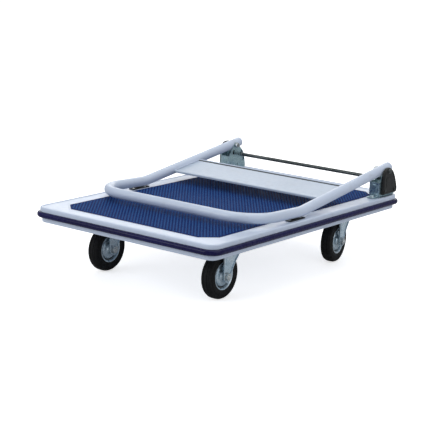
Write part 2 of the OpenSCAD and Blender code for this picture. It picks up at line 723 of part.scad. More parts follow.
if (shown("deck_sheet")) deck_sheet();
if (shown("deck_mat")) deck_mat();
if (shown("bumper_strip")) bumper_strip();
if (shown("cross_channels")) cross_channels();
if (shown("long_channels")) long_channels();
if (shown("handle_rest_pads")) handle_rest_pads();
if (shown("pad_rivets")) pad_rivets();
if (shown("bracket_left")) bracket_left();
if (shown("bracket_right")) bracket_right();
if (shown("bracket_bolts")) bracket_bolts();
if (shown("bracket_nuts")) bracket_nuts();
if (shown("side_cover_left")) side_cover_left();
if (shown("side_cover_right")) side_cover_right();
if (shown("cover_screws")) cover_screws();
if (shown("pivot_bolts")) pivot_bolts();
if (shown("pivot_nuts")) pivot_nuts();
if (shown("latch_pins")) latch_pins();
if (shown("latch_springs")) latch_springs();
if (shown("handle_tube")) handle_tube();
if (shown("handle_cross_plate")) handle_cross_plate();
if (shown("tube_end_plugs")) tube_end_plugs();
if (shown("pivot_bushes")) pivot_bushes();
if (shown("lock_bar")) lock_bar();
if (shown("latch_lever_left")) latch_lever_left();
if (shown("latch_lever_right")) latch_lever_right();
if (shown("lock_bar_clips")) lock_bar_clips();
if (shown("rigid_fork_left")) rigid_fork_left();
if (shown("rigid_fork_right")) rigid_fork_right();
if (shown("swivel_plate_left")) swivel_plate_left();
if (shown("swivel_plate_right")) swivel_plate_right();
if (shown("kingpins")) kingpins();
if (shown("kingpin_nuts")) kingpin_nuts();
if (shown("swivel_fork_left")) swivel_fork_left();
if (shown("swivel_fork_right")) swivel_fork_right();
if (shown("race_balls_left")) race_balls_left();
if (shown("race_balls_right")) race_balls_right();
if (shown("caster_bolts")) caster_bolts();
if (shown("caster_nuts")) caster_nuts();
if (shown("tyre_fl")) at_fl() tyre();
if (shown("rim_fl")) at_fl() rim();
if (shown("hub_bush_fl")) at_fl() hub_bush();
if (shown("axle_bolt_fl")) at_fl() axle_bolt();
if (shown("axle_nut_fl")) at_fl() axle_nut();
if (shown("tyre_fr")) at_fr() tyre();
if (shown("rim_fr")) at_fr() rim();
if (shown("hub_bush_fr")) at_fr() hub_bush();
if (shown("axle_bolt_fr")) at_fr() axle_bolt();
if (shown("axle_nut_fr")) at_fr() axle_nut();
if (shown("tyre_rl")) at_rl() tyre();
if (shown("rim_rl")) at_rl() rim();
if (shown("hub_bush_rl")) at_rl() hub_bush();
if (shown("axle_bolt_rl")) at_rl() axle_bolt();
if (shown("axle_nut_rl")) at_rl() axle_nut();
if (shown("tyre_rr")) at_rr() tyre();
if (shown("rim_rr")) at_rr() rim();
if (shown("hub_bush_rr")) at_rr() hub_bush();
if (shown("axle_bolt_rr")) at_rr() axle_bolt();
if (shown("axle_nut_rr")) at_rr() axle_nut();
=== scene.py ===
"""Folding-handle platform trolley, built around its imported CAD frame.

It stands on z 0, its length along y. The handle pivots at the rear (+y) and lies folded
forwards over the deck. Fixed casters are at the front (-y), swivel casters at the rear;
right is +x. Shapes are in mm in the CAD's frame, and emit() turns them into metres.
"""
import bpy
import bmesh
import json
from functools import cached_property
from math import acos, atan2, cos, pi, radians, sin, sqrt, tan
import numpy as np
from mathutils import Matrix, Vector
from mathutils.geometry import tessellate_polygon


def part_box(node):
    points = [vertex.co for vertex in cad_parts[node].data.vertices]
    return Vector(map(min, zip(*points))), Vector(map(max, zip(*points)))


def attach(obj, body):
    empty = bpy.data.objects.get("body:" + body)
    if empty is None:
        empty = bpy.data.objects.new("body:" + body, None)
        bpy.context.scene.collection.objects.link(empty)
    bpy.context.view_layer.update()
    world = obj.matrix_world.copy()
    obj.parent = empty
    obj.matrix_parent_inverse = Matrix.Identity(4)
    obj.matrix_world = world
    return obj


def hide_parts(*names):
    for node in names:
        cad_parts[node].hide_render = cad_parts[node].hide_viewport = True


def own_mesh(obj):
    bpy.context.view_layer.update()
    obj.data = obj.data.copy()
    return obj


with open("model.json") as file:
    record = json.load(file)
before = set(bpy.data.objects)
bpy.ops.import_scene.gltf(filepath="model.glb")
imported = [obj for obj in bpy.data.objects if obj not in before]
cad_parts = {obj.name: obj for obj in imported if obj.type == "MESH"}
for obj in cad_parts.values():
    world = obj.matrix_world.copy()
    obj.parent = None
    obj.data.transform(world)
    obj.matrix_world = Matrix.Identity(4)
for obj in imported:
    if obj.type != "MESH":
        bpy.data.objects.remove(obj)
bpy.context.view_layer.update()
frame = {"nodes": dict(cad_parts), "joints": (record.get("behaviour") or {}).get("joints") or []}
JOINTS = {joint["name"]: joint for joint in frame["joints"]}


# ------------------------------------------------------------------ places and sizes, mm
def box_mm(name):
    low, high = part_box(name)
    return np.array(low) * 1000.0, np.array(high) * 1000.0


def joint_mm(name):
    return [v * 1000 for v in JOINTS[name]["pos_m"]]


# deck
low, high = box_mm("bumper_strip")
HALF_X, HALF_Y = (high[0] - low[0]) / 2, (high[1] - low[1]) / 2
CORNER_R = 38.0
DECK_Z = box_mm("deck_mat")[1][2]             # walking surface
PAN_Z = box_mm("deck_mat")[0][2]              # recess floor
UNDER_Z = PAN_Z - 1.8
SKIRT_Z = box_mm("deck_sheet")[0][2]
BAND_Z, BEAD_Z, LIP_Z = DECK_Z - 1.4, DECK_Z - 0.6, DECK_Z + 0.6
RECESS_X, RECESS_Y = HALF_X - 54.5, HALF_Y - 54.5
RECESS_CUT = 38                               # corner cut of the recess

# handle: side tubes rise to the pivots behind the kink, the hand loop lies in front of it
PIVOT_Y, PIVOT_Z = joint_mm("handle_fold")[1:]
TUBE_X, TUBE_R = 268.0, 14.0
KINK_Y, KINK_Z = -30.0, 203.0
LOW_TILT, LOOP_TILT = radians(8), radians(2)
LOW_LEN = (PIVOT_Y - KINK_Y) / cos(LOW_TILT)
TAIL = 36.0                                   # tube past the pivot
LOOP_LEN, LOOP_R = 215.0, 95.0
PLATE_FRONT, PLATE_REAR = 116.0, 245.0        # cross plate, measured from the kink

# hinge brackets and foot lock
CHEEK_IN, CHEEK_T = TUBE_R + 0.5, 2.5         # cheek faces, from the tube axis
CHEEK_OUT = CHEEK_IN + CHEEK_T
INNER_X, OUTER_X = TUBE_X - CHEEK_OUT, TUBE_X + CHEEK_OUT
WEB_Y = PIVOT_Y - 34
BASE_Z, BASE_T = BEAD_Z, 2.4
COVER_X = box_mm("side_cover_right")[1][0]
COVER_SCREWS = ((PIVOT_Y - 17, PIVOT_Z - 55), (PIVOT_Y + 36, PIVOT_Z - 57))
LEVER_Y, LEVER_Z = joint_mm("lock_release")[1:]
SPRING_Y = PIVOT_Y + 13
low, high = box_mm("lock_bar")
BAR_Y, BAR_Z = (low[1] + high[1]) / 2, (low[2] + high[2]) / 2
BAR_X, BAR_R = high[0], (high[1] - low[1]) / 2

# casters
CASTER_X, AXLE_Y, AXLE_Z = joint_mm("wheel_spin_fr")
FIXED_Y = AXLE_Y + 22                         # middle of the fixed caster plates
KINGPIN_Y = joint_mm("swivel_right")[1]
TRAIL = 28.0
PLATE_TOP = box_mm("rigid_fork_right")[1][2]
BOLT_DX, BOLT_DY = 33, 36                     # plate bolts, from the plate's middle
RACE_R, RACE_Z = 26, 150.0
PARK_YAW = {}
for side, wheel in (("left", "rl"), ("right", "rr")):
    axle, pin = JOINTS["wheel_spin_" + wheel]["pos_m"], JOINTS["swivel_" + side]["pos_m"]
    PARK_YAW[side] = atan2(axle[0] - pin[0], -(axle[1] - pin[1]))


# ------------------------------------------------------------------ mesh helpers
def rotx(angle):
    c, s = cos(angle), sin(angle)
    return np.array([[1, 0, 0], [0, c, -s], [0, s, c]])


def rotz(angle):
    c, s = cos(angle), sin(angle)
    return np.array([[c, -s, 0], [s, c, 0], [0, 0, 1]])


ALONG_X = np.array([[0, 0, 1], [1, 0, 0], [0, 1, 0]], float)        # z -> +x, x -> y, y -> z
ALONG_MINUS_X = np.array([[0, 0, -1], [-1, 0, 0], [0, 1, 0]], float)  # z -> -x
TURN_OVER = np.diag([1.0, -1.0, -1.0])
BOTH_ENDS = ((1, None), (-1, TURN_OVER))


class Part:
    """A mesh being put together."""

    def __init__(self):
        self.verts, self.faces = [], []

    def add(self, mesh, turn=None, move=(0, 0, 0), flip=False):
        verts, faces = mesh
        verts = np.asarray(verts, float)
        if turn is not None:
            verts = verts @ np.asarray(turn).T
        start = len(self.verts)
        self.verts.extend((verts + np.asarray(move, float)).tolist())
        self.faces.extend([[i + start for i in (reversed(f) if flip else f)] for f in faces])
        return self

    def get(self):
        return np.array(self.verts), self.faces

    def placed(self, turn, move):
        return Part().add(self.get(), turn, move)

    def mirrored(self):
        verts, faces = self.get()
        return Part().add((verts * np.array([-1, 1, 1]), faces), flip=True)

    def both(self):
        """Add the mirror image across x 0."""
        return self.add(self.mirrored().get())


def grid(rings, closed=False):
    """Skin over a stack of rings, capped unless the stack closes on itself."""
    rings = np.asarray(rings, float)
    count, size, _ = rings.shape
    faces = []
    for i in range(count if closed else count - 1):
        here, there = i * size, ((i + 1) % count) * size
        for j in range(size):
            k = (j + 1) % size
            faces.append([here + j, here + k, there + k, there + j])
    if not closed:
        faces.append(list(range(size))[::-1])
        faces.append([(count - 1) * size + j for j in range(size)])
    return rings.reshape(-1, 3), faces


def prism_y(section, y0, y1):
    """(x, z) section carried from y0 to y1."""
    return grid([[(x, y, z) for x, z in section] for y in (y0, y1)])


def revolve(profile, steps=48, closed=False):
    """Solid of revolution about z from (radius, z) points; closed profiles make rings."""
    angles = np.linspace(0, 2 * pi, steps, endpoint=False)
    return grid([[(r * cos(a), r * sin(a), z) for a in angles] for r, z in profile], closed)


def arc(x, y, radius, degrees, radius_y=None):
    high = radius_y or radius
    return [(x + radius * cos(radians(a)), y + high * sin(radians(a))) for a in degrees]


def circle(radius, steps=24, centre=(0, 0)):
    angles = [2 * pi * i / steps for i in range(steps)]
    return [(centre[0] + radius * cos(a), centre[1] + radius * sin(a)) for a in angles]


def roundpoly(points, radii, steps=4, closed=True):
    """Polygon with its corners rounded; radii is one radius or one per point."""
    points = [np.array(p, float) for p in points]
    count = len(points)
    radii = [radii] * count if np.isscalar(radii) else radii
    out = []
    for i, (corner, radius) in enumerate(zip(points, radii)):
        back, ahead = points[i - 1] - corner, points[(i + 1) % count] - corner
        back_len, ahead_len = np.linalg.norm(back), np.linalg.norm(ahead)
        open_end = not closed and i in (0, count - 1)
        if open_end or min(radius, back_len, ahead_len) < 1e-9:
            out.append(corner)
            continue
        back, ahead = back / back_len, ahead / ahead_len
        angle = acos(max(-1, min(1, float(back @ ahead))))
        if not 0.02 <= angle <= pi - 0.02:
            out.append(corner)
            continue
        cut = min(radius / tan(angle / 2), back_len * 0.48, ahead_len * 0.48)
        fit = cut * tan(angle / 2)
        centre = corner + (back + ahead) / np.linalg.norm(back + ahead) * (fit / sin(angle / 2))
        start, end = corner + back * cut - centre, corner + ahead * cut - centre
        first = atan2(start[1], start[0])
        swing = (atan2(end[1], end[0]) - first + pi) % (2 * pi) - pi
        for k in range(steps + 1):
            a = first + swing * k / steps
            out.append(centre + fit * np.array([cos(a), sin(a)]))
    return [(float(p[0]), float(p[1])) for p in out]


def area(loop):
    x, y = np.array(loop).T
    return 0.5 * float(np.sum(x * np.roll(y, -1) - np.roll(x, -1) * y))


def inset(loop, distance):
    """Loop moved to its left (inwards for an anticlockwise loop)."""
    points = np.array(loop, float)

    def normals(edges):
        edges = edges / np.maximum(np.linalg.norm(edges, axis=1), 1e-9)[:, None]
        return np.stack([-edges[:, 1], edges[:, 0]], 1)

    before = normals(points - np.roll(points, 1, 0))
    mitre = before + normals(np.roll(points, -1, 0) - points)
    mitre /= np.maximum((mitre * before).sum(1), 0.35)[:, None]
    return points + mitre * distance


def plate(loops, z0, z1, bevel=0.4):
    """Flat plate with rounded edges; loops[0] is the outside, the rest are holes."""
    verts, faces = [], []
    tops, bottoms = [], []
    levels = [(bevel, z0), (bevel * 0.29, z0 + bevel * 0.29), (0, z0 + bevel),
              (0, z1 - bevel), (bevel * 0.29, z1 - bevel * 0.29), (bevel, z1)]
    for i, loop in enumerate(loops):
        loop = list(loop)
        if (area(loop) > 0) != (i == 0):
            loop = loop[::-1]
        size, start = len(loop), len(verts)
        for distance, z in levels:
            verts.extend([(x, y, z) for x, y in inset(loop, distance)])
        for k in range(len(levels) - 1):
            here = start + k * size
            for j in range(size):
                nxt = (j + 1) % size
                faces.append([here + j, here + nxt, here + size + nxt, here + size + j])
        bottoms.append([start + j for j in range(size)])
        tops.append([start + (len(levels) - 1) * size + j for j in range(size)])
    for group, up in ((tops, True), (bottoms, False)):
        flat = [i for ring in group for i in ring]
        for triangle in tessellate_polygon([[Vector(verts[i]) for i in ring] for ring in group]):
            face = [flat[i] for i in triangle]
            a, b, c = (np.array(verts[i]) for i in face)
            faces.append(face if (np.cross(b - a, c - a)[2] > 0) == up else face[::-1])
    return np.array(verts, float), faces


def yz_plate(loops, x0, x1, bevel=0.4):
    """Plate drawn in (y, z), its thickness along x."""
    verts, faces = plate(loops, x0, x1, bevel)
    return verts @ ALONG_X.T, faces


def sweep(path, profile, up=None, scale=None):
    """Profile (x, y) carried along a 3-D path; up keeps its y axis near a direction."""
    points = np.array(path, float)
    tangents = np.gradient(points, axis=0)
    tangents /= np.linalg.norm(tangents, axis=1)[:, None]
    near = None if up is None else np.array(up, float)
    rings = []
    for i, tangent in enumerate(tangents):
        if near is None:
            near = np.array([0, 0, 1.0] if abs(tangent[2]) < 0.9 else [1.0, 0, 0])
        y = near - tangent * (tangent @ near)
        y /= np.linalg.norm(y)
        if up is None:
            near = y
        x = np.cross(y, tangent)
        size = 1.0 if scale is None else scale[i]
        rings.append([points[i] + size * (a * x + b * y) for a, b in profile])
    return grid(rings)


def bead_size(i, last, start, taper, ripple, pace, jitter=0.0):
    """Relative thickness of a weld bead at step i: tapered ends and a rippled run."""
    return min(1.0, start + min(i, last - i) / taper) * (1 + ripple * sin(i * pace) + jitter)


def hexhead(flats, height, both=False):
    """Hexagon bar standing on z 0, chamfered on top, or at both ends."""
    angles = np.linspace(0, 2 * pi, 48, endpoint=False)
    full = flats / 2 / np.cos((angles + pi / 6) % (pi / 3) - pi / 6)
    small = flats / 2 * 0.96
    drop = (full - small) * 0.5

    def ring(radius, z):
        return np.stack([radius * np.cos(angles), radius * np.sin(angles), z + 0 * angles], 1)

    foot = [ring(small, 0), ring(full, drop)] if both else [ring(full * 0.985, 0), ring(full, 0.25)]
    return grid(foot + [ring(full, height - drop - 0.02), ring(full * 0.997, height - drop + 0.08),
                        ring(small, height), ring(small * 0.9, height)])


def thread(radius, z0, z1, steps=32):
    pitch, depth = 1.25, 0.45
    z = z0 + 0.6
    profile = [(radius - 1.0, z0), (radius - 0.35, z)]
    while z + pitch < z1:
        profile += [(radius - depth, z + 0.15), (radius, z + pitch * 0.5),
                    (radius - depth, z + pitch - 0.1)]
        z += pitch
    return revolve(profile + [(radius, z1)], steps)


def disc(radius, z0, z1, edge=0.3, bore=None):
    """Disc with broken edges; with a bore it is a ring."""
    profile = [(radius - edge, z0), (radius, z0 + edge), (radius, z1 - edge), (radius - edge, z1)]
    if bore:
        return revolve([(bore, z0)] + profile + [(bore, z1)], 32, closed=True)
    return revolve(profile, 32)


def add_weighted_normals(ob, keep_sharp):
    modifier = ob.modifiers.new("normals", "WEIGHTED_NORMAL")
    modifier.keep_sharp = keep_sharp
    return modifier


def emit(name, part, material, replaces=None, body="root", angle=32, clean=True):
    verts, faces = part.get()
    mesh = bpy.data.meshes.new(name)
    mesh.from_pydata((verts * 0.001).tolist(), [], faces)
    if clean:
        bm = bmesh.new()
        bm.from_mesh(mesh)
        bmesh.ops.remove_doubles(bm, verts=bm.verts, dist=1e-6)
        bmesh.ops.recalc_face_normals(bm, faces=bm.faces)
        bm.to_mesh(mesh)
        bm.free()
    mesh.polygons.foreach_set("use_smooth", [True] * len(mesh.polygons))
    mesh.set_sharp_from_angle(angle=radians(angle))
    mesh.materials.append(MATERIALS[material])
    ob = bpy.data.objects.new(name, mesh)
    bpy.context.scene.collection.objects.link(ob)
    add_weighted_normals(ob, keep_sharp=True).weight = 50
    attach(ob, body)
    if replaces:
        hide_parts(replaces)
    return ob


# ------------------------------------------------------------------ shader helpers
MATERIALS = {}


def connect(tree, value, socket):
    """Link a socket, or set a plain value."""
    if hasattr(value, "node"):
        tree.links.new(value, socket)
    else:
        socket.default_value = value


def set_inputs(tree, node, inputs):
    for name, value in inputs.items():
        connect(tree, value, node.inputs[name.replace("_", " ")])


def add_node(tree, kind, **inputs):
    node = tree.nodes.new(kind)
    set_inputs(tree, node, inputs)
    return node


def mix_colours(tree, first, second, factor):
    node = add_node(tree, "ShaderNodeMix")
    node.data_type = "RGBA"
    for index, value in ((0, factor), (6, first), (7, second)):
        connect(tree, value, node.inputs[index])
    return node.outputs[2]


class Material:
    """A Principled material and the node patterns it is built from."""

    def __init__(self, name):
        material = bpy.data.materials.new(name)
        material.use_nodes = True
        self.tree = material.node_tree
        self.tree.nodes.clear()
        self.shader = self.node("ShaderNodeBsdfPrincipled")
        self.node("ShaderNodeOutputMaterial", Surface=self.shader.outputs[0])
        self.coords = self.node("ShaderNodeTexCoord").outputs["Object"]
        MATERIALS[name] = material

    def node(self, kind, **inputs):
        return add_node(self.tree, kind, **inputs)

    def set(self, **inputs):
        set_inputs(self.tree, self.shader, inputs)

    @cached_property
    def pointiness(self):
        return self.node("ShaderNodeNewGeometry").outputs["Pointiness"]

    def stretched(self, stretch):
        return self.node("ShaderNodeMapping", Scale=stretch, Vector=self.coords).outputs[0]

    def noise(self, scale, detail=3, rough=0.5, stretch=(1, 1, 1), warp=0.0):
        return self.node("ShaderNodeTexNoise", Scale=scale, Detail=detail, Roughness=rough,
                         Distortion=warp, Vector=self.stretched(stretch)).outputs["Fac"]

    def cells(self, scale):
        return self.node("ShaderNodeTexVoronoi", Scale=scale,
                         Vector=self.stretched((1, 1, 1))).outputs["Distance"]

    def calc(self, operation, first, second):
        node = self.node("ShaderNodeMath")
        node.operation = operation
        connect(self.tree, first, node.inputs[0])
        connect(self.tree, second, node.inputs[1])
        return node.outputs[0]

    def ramp(self, value, span, to=(0.0, 1.0), amount=None):
        """Smooth step over span onto the range to, times amount if it is given."""
        node = self.node("ShaderNodeMapRange", Value=value, From_Min=span[0], From_Max=span[1],
                         To_Min=to[0], To_Max=to[1])
        node.interpolation_type = "SMOOTHSTEP"
        result = node.outputs["Result"]
        return result if amount is None else self.calc("MULTIPLY", result, amount)

    def blotch(self, span=(0.3, 0.7), to=(0.0, 1.0), amount=None, **noise):
        """Ramped noise."""
        return self.ramp(self.noise(**noise), span, to, amount)

    def edge(self, amount, span=(0.53, 0.6)):
        """Mask of convex edges, used to paint highlights onto them (painted highlight)."""
        return self.ramp(self.pointiness, span, amount=amount)

    def hollow_shade(self, amount):
        """Mask of concave corners, used to paint shade into them (painted shade)."""
        return self.ramp(self.pointiness, (0.42, 0.49), (1.0, 0.0), amount)

    def mix(self, first, second, factor):
        return mix_colours(self.tree, first, second, factor)

    def bump(self, height, strength, dist, under=None):
        node = self.node("ShaderNodeBump", Strength=strength, Distance=dist, Height=height)
        if under is not None:
            connect(self.tree, under, node.inputs["Normal"])
        return node.outputs[0]

    def grain(self, strength, dist, under=None, **noise):
        """Noise bump."""
        return self.bump(self.noise(**noise), strength, dist, under)


def srgb(*channels):
    """Linear colour from 0-255 sRGB channels."""
    shares = [c / 255 for c in channels]
    return tuple(c / 12.92 if c <= 0.04045 else ((c + 0.055) / 1.055) ** 2.4
                 for c in shares) + (1.0,)


def shade(colour, factor):
    return tuple(c * factor for c in colour[:3]) + (1,)


# ------------------------------------------------------------------ materials
def paint(name, colour, rough=0.34):
    look = Material(name)
    tint = look.mix(colour, shade(colour, 0.95), look.blotch(scale=7, span=(0.35, 0.7)))
    grime = look.blotch(scale=38, detail=6, rough=0.62, span=(0.52, 0.74), amount=0.16)
    tint = look.mix(tint, srgb(150, 150, 152), grime)
    scuffs = look.blotch(scale=60, detail=5, rough=0.7, stretch=(0.22, 1.0, 1.0),
                         span=(0.68, 0.8), to=(0.0, 0.22))
    tint = look.mix(tint, srgb(168, 172, 180), scuffs)
    # painted shade darkens concave corners; painted highlight lightens convex edges
    tint = look.mix(tint, srgb(120, 124, 134), look.hollow_shade(amount=0.3))
    tint = look.mix(tint, srgb(240, 242, 248), look.edge(amount=0.25, span=(0.56, 0.68)))
    gloss = look.blotch(scale=90, detail=4, rough=0.6, span=(0.3, 0.75),
                        to=(rough - 0.06, rough + 0.12))
    peel = look.grain(scale=620, detail=2, strength=0.10, dist=0.0004)
    peel = look.grain(scale=55, detail=2, strength=0.05, dist=0.0008, under=peel)
    look.set(Base_Color=tint, Roughness=gloss, Normal=peel, Specular_IOR_Level=0.5,
             Coat_Weight=0.25, Coat_Roughness=0.18)


def metal(name, colour, cloud, rough, metallic):
    """Plated or bare steel, its colour clouded with a second one."""
    look = Material(name)
    clouds = look.blotch(scale=26, detail=4, rough=0.6, warp=0.4, span=(0.35, 0.68))
    tint = look.mix(colour, cloud, clouds)
    patches = look.ramp(look.cells(scale=210), span=(0.1, 0.75), to=(0.0, 0.16))
    tint = look.mix(tint, shade(colour, 0.55), patches)
    spots = look.blotch(scale=170, detail=6, rough=0.7, span=(0.62, 0.76), to=(0.0, 0.35))
    tint = look.mix(tint, shade(colour, 0.5), spots)
    # painted shade darkens concave corners; painted highlight lightens convex edges
    tint = look.mix(tint, srgb(70, 78, 80), look.hollow_shade(amount=0.55))
    tint = look.mix(tint, srgb(225, 232, 238), look.edge(amount=0.45))
    gloss = look.blotch(scale=120, detail=5, rough=0.65, span=(0.3, 0.72),
                        to=(rough - 0.08, rough + 0.16))
    relief = look.grain(scale=420, rough=0.6, strength=0.12, dist=0.0003)
    relief = look.grain(scale=1500, detail=2, stretch=(1, 0.12, 1), strength=0.05, dist=0.0002,
                        under=relief)
    look.set(Base_Color=tint, Metallic=metallic, Roughness=gloss, Normal=relief)


def blue_mat():
    """Stud tops painted pale as a painted highlight, the ground between them painted darker as
    painted shade.
    """
    look = Material("blue_mat")
    height = look.node("ShaderNodeSeparateXYZ", Vector=look.coords).outputs[2]
    # painted highlight on the stud tops, picked out by height
    top = look.ramp(height, span=((DECK_Z - 0.75) / 1000, (DECK_Z - 0.05) / 1000))
    tint = look.mix(srgb(8, 38, 100), srgb(12, 45, 110), look.blotch(scale=9))
    tint = look.mix(tint, srgb(62, 104, 160), look.calc("MULTIPLY", top, 0.7))
    # painted shade in the ground between the studs
    ground = look.calc("MULTIPLY", look.calc("SUBTRACT", 1.0, top), 0.5)
    tint = look.mix(tint, srgb(4, 16, 66), ground)
    dust = look.blotch(scale=30, detail=7, rough=0.68, span=(0.5, 0.8), amount=0.03)
    tint = look.mix(tint, srgb(104, 120, 150), dust)
    relief = look.grain(scale=1600, rough=0.6, strength=0.25, dist=0.0003)
    relief = look.grain(scale=260, detail=2, strength=0.12, dist=0.0005, under=relief)
    look.set(Base_Color=tint, Normal=relief, Specular_IOR_Level=0.06,
             Roughness=look.blotch(scale=140, detail=4, rough=0.6, to=(0.6, 0.8)))


def navy_bumper():
    look = Material("navy_bumper")
    tint = look.mix(srgb(9, 8, 58), srgb(13, 12, 70), look.blotch(scale=12))
    rubs = look.blotch(scale=48, detail=7, rough=0.72, stretch=(1, 1, 3), span=(0.62, 0.8),
                       to=(0.0, 0.10))
    tint = look.mix(tint, srgb(34, 32, 88), rubs)
    # painted highlight on convex edges
    tint = look.mix(tint, srgb(56, 58, 98), look.edge(amount=0.10, span=(0.55, 0.66)))
    relief = look.grain(scale=300, detail=2, stretch=(0.5, 0.5, 6), strength=0.10, dist=0.0003)
    relief = look.grain(scale=40, detail=2, strength=0.08, dist=0.001, under=relief)
    gloss = look.blotch(scale=80, detail=5, rough=0.65, span=(0.3, 0.75), to=(0.2, 0.36))
    look.set(Base_Color=tint, Roughness=gloss, Normal=relief, Specular_IOR_Level=0.2)


def tyre_rubber():
    look = Material("tyre_rubber")
    tint = look.mix(srgb(12, 12, 13), srgb(18, 18, 20), look.blotch(scale=22))
    dust = look.blotch(scale=90, detail=7, rough=0.7, span=(0.45, 0.8), amount=0.10)
    tint = look.mix(tint, srgb(72, 70, 68), dust)
    # painted highlight on convex edges, painted shade in concave corners
    tint = look.mix(tint, srgb(50, 50, 51), look.edge(amount=0.16, span=(0.53, 0.62)))
    tint = look.mix(tint, srgb(10, 10, 11), look.hollow_shade(amount=0.6))
    relief = look.grain(scale=900, detail=4, rough=0.65, strength=0.3, dist=0.0004)
    relief = look.bump(look.cells(scale=340), strength=0.12, dist=0.0004, under=relief)
    look.set(Base_Color=tint, Normal=relief, Specular_IOR_Level=0.22,
             Roughness=look.blotch(scale=150, detail=4, rough=0.6, to=(0.5, 0.74)))


def black_rubber():
    look = Material("black_rubber")
    tint = look.mix(srgb(24, 24, 26), srgb(36, 36, 38), look.blotch(scale=40, detail=4))
    # painted highlight on convex edges
    tint = look.mix(tint, srgb(70, 70, 72), look.edge(amount=0.3))
    look.set(Base_Color=tint, Roughness=look.blotch(scale=120, detail=4, to=(0.55, 0.75)),
             Normal=look.grain(scale=1200, rough=0.6, strength=0.3, dist=0.0004))


def black_plastic():
    look = Material("black_plastic")
    tint = look.mix(srgb(20, 22, 22), srgb(27, 29, 29), look.blotch(scale=30, detail=4))
    scratches = look.blotch(scale=130, detail=6, rough=0.75, stretch=(1, 1, 0.2),
                            span=(0.66, 0.78), to=(0.0, 0.35))
    tint = look.mix(tint, srgb(86, 88, 90), scratches)
    # painted highlight on convex edges
    tint = look.mix(tint, srgb(92, 94, 96), look.edge(amount=0.4, span=(0.54, 0.64)))
    relief = look.bump(look.cells(scale=1100), strength=0.22, dist=0.0003)
    relief = look.grain(scale=700, rough=0.6, strength=0.12, dist=0.0003, under=relief)
    look.set(Base_Color=tint, Normal=relief, Specular_IOR_Level=0.3,
             Roughness=look.blotch(scale=160, detail=4, rough=0.6, to=(0.36, 0.55)))


def nylon():
    look = Material("nylon")
    tint = look.mix(srgb(52, 52, 54), srgb(66, 66, 68), look.blotch(scale=60, detail=4))
    look.set(Base_Color=tint, Roughness=look.blotch(scale=200, to=(0.4, 0.6)),
             Normal=look.grain(scale=900, strength=0.15, dist=0.0003))


def floor():
    """Grey to the light it bounces, near white and glowing to the camera."""
    look = Material("floor")
    eye = look.node("ShaderNodeLightPath").outputs["Is Camera Ray"]
    seen = look.mix((0.86, 0.865, 0.88, 1), (0.89, 0.895, 0.905, 1),
                    look.blotch(scale=1.4, detail=4))
    glow = look.calc("ADD", 0.08, look.calc("MULTIPLY", eye, 0.58))
    look.set(Base_Color=look.mix((0.5, 0.51, 0.53, 1), seen, eye), Roughness=0.7,
             Specular_IOR_Level=0.15, Normal=look.grain(scale=30, strength=0.02, dist=0.001),
             Emission_Color=(1, 1, 1, 1), Emission_Strength=glow)


paint("white_paint", srgb(196, 208, 227))
paint("plate_paint", srgb(174, 188, 205), rough=0.4)
blue_mat()
navy_bumper()
tyre_rubber()
black_rubber()
black_plastic()
nylon()
METALS = (    # name, colour, cloud colour, roughness, metallic
    ("caster_zinc", (190, 211, 224), (208, 222, 230), 0.25, 0.82),
    ("bracket_zinc", (142, 169, 180), (164, 190, 194), 0.28, 0.86),
    ("bright_zinc", (196, 204, 208), (204, 209, 208), 0.24, 0.95),
    ("dark_steel", (84, 90, 89), (68, 74, 73), 0.32, 0.85),
    ("ball_steel", (180, 182, 186), (190, 190, 194), 0.14, 1.0))
for name, colour, cloud, rough, metallic in METALS:
    metal(name, srgb(*colour), srgb(*cloud), rough, metallic)
floor()


# ------------------------------------------------------------------ deck
def recess_loop(grow, z, steps=12):
    """Outline of the recess, its cut corners divided into steps."""
    x, y, cut = RECESS_X + grow, RECESS_Y + grow, RECESS_CUT + 0.586 * grow
    cuts = (((x, y - cut), (x - cut, y)), ((-x + cut, y), (-x, y - cut)),
            ((-x, -y + cut), (-x + cut, -y)), ((x - cut, -y), (x, -y + cut)))
    return [(a[0] + (b[0] - a[0]) * i / steps, a[1] + (b[1] - a[1]) * i / steps, z)
            for a, b in cuts for i in range(steps + 1)]


def rim_loop(inwards, z, steps=12):
    """Round-cornered outline, set in from the bumper's outside."""
    x, y = HALF_X - CORNER_R, HALF_Y - CORNER_R
    loop = []
    for sx, sy, first in ((1, 1, 0), (-1, 1, 90), (-1, -1, 180), (1, -1, 270)):
        loop += arc(sx * x, sy * y, CORNER_R - inwards,
                    [first + 90 * i / steps for i in range(steps + 1)])
    return [(x, y, z) for x, y in loop]


def deck():
    recess = [    # growth of the recess outline, z
        (0.5, PAN_Z), (0.5, BEAD_Z - 0.8), (0.7, BEAD_Z - 0.3), (1.3, BEAD_Z), (4.6, BEAD_Z),
        (5.4, BEAD_Z - 0.2), (6.0, BAND_Z + 0.1), (6.6, BAND_Z)]
    ledge_z = DECK_Z - 12.2
    rim = [(20, BAND_Z), (18.2, BAND_Z), (17.0, BAND_Z + 0.12), (16.1, BAND_Z + 0.5)]  # inset, z
    rim += arc(12.0, LIP_Z - 4.0, 4.0, range(45, 181, 13))
    rim += [(8.0, ledge_z + 0.9), (8.3, ledge_z + 0.25), (9.0, ledge_z), (13.0, ledge_z),
            (13.4, ledge_z - 0.4), (13.4, SKIRT_Z + 6.0)]
    rim += arc(16.6, SKIRT_Z + 3.2, 3.2, range(180, 451, 15))
    rim += [(15.8, SKIRT_Z + 7.2), (15.2, SKIRT_Z + 8.4), (15.1, UNDER_Z - 3.0),
            (15.6, UNDER_Z - 1.2), (17.0, UNDER_Z)]
    pan = Part().add(grid([recess_loop(*row) for row in recess] + [rim_loop(*row) for row in rim]))
    emit("deck_pan", pan, "white_paint", "deck_sheet", angle=40)


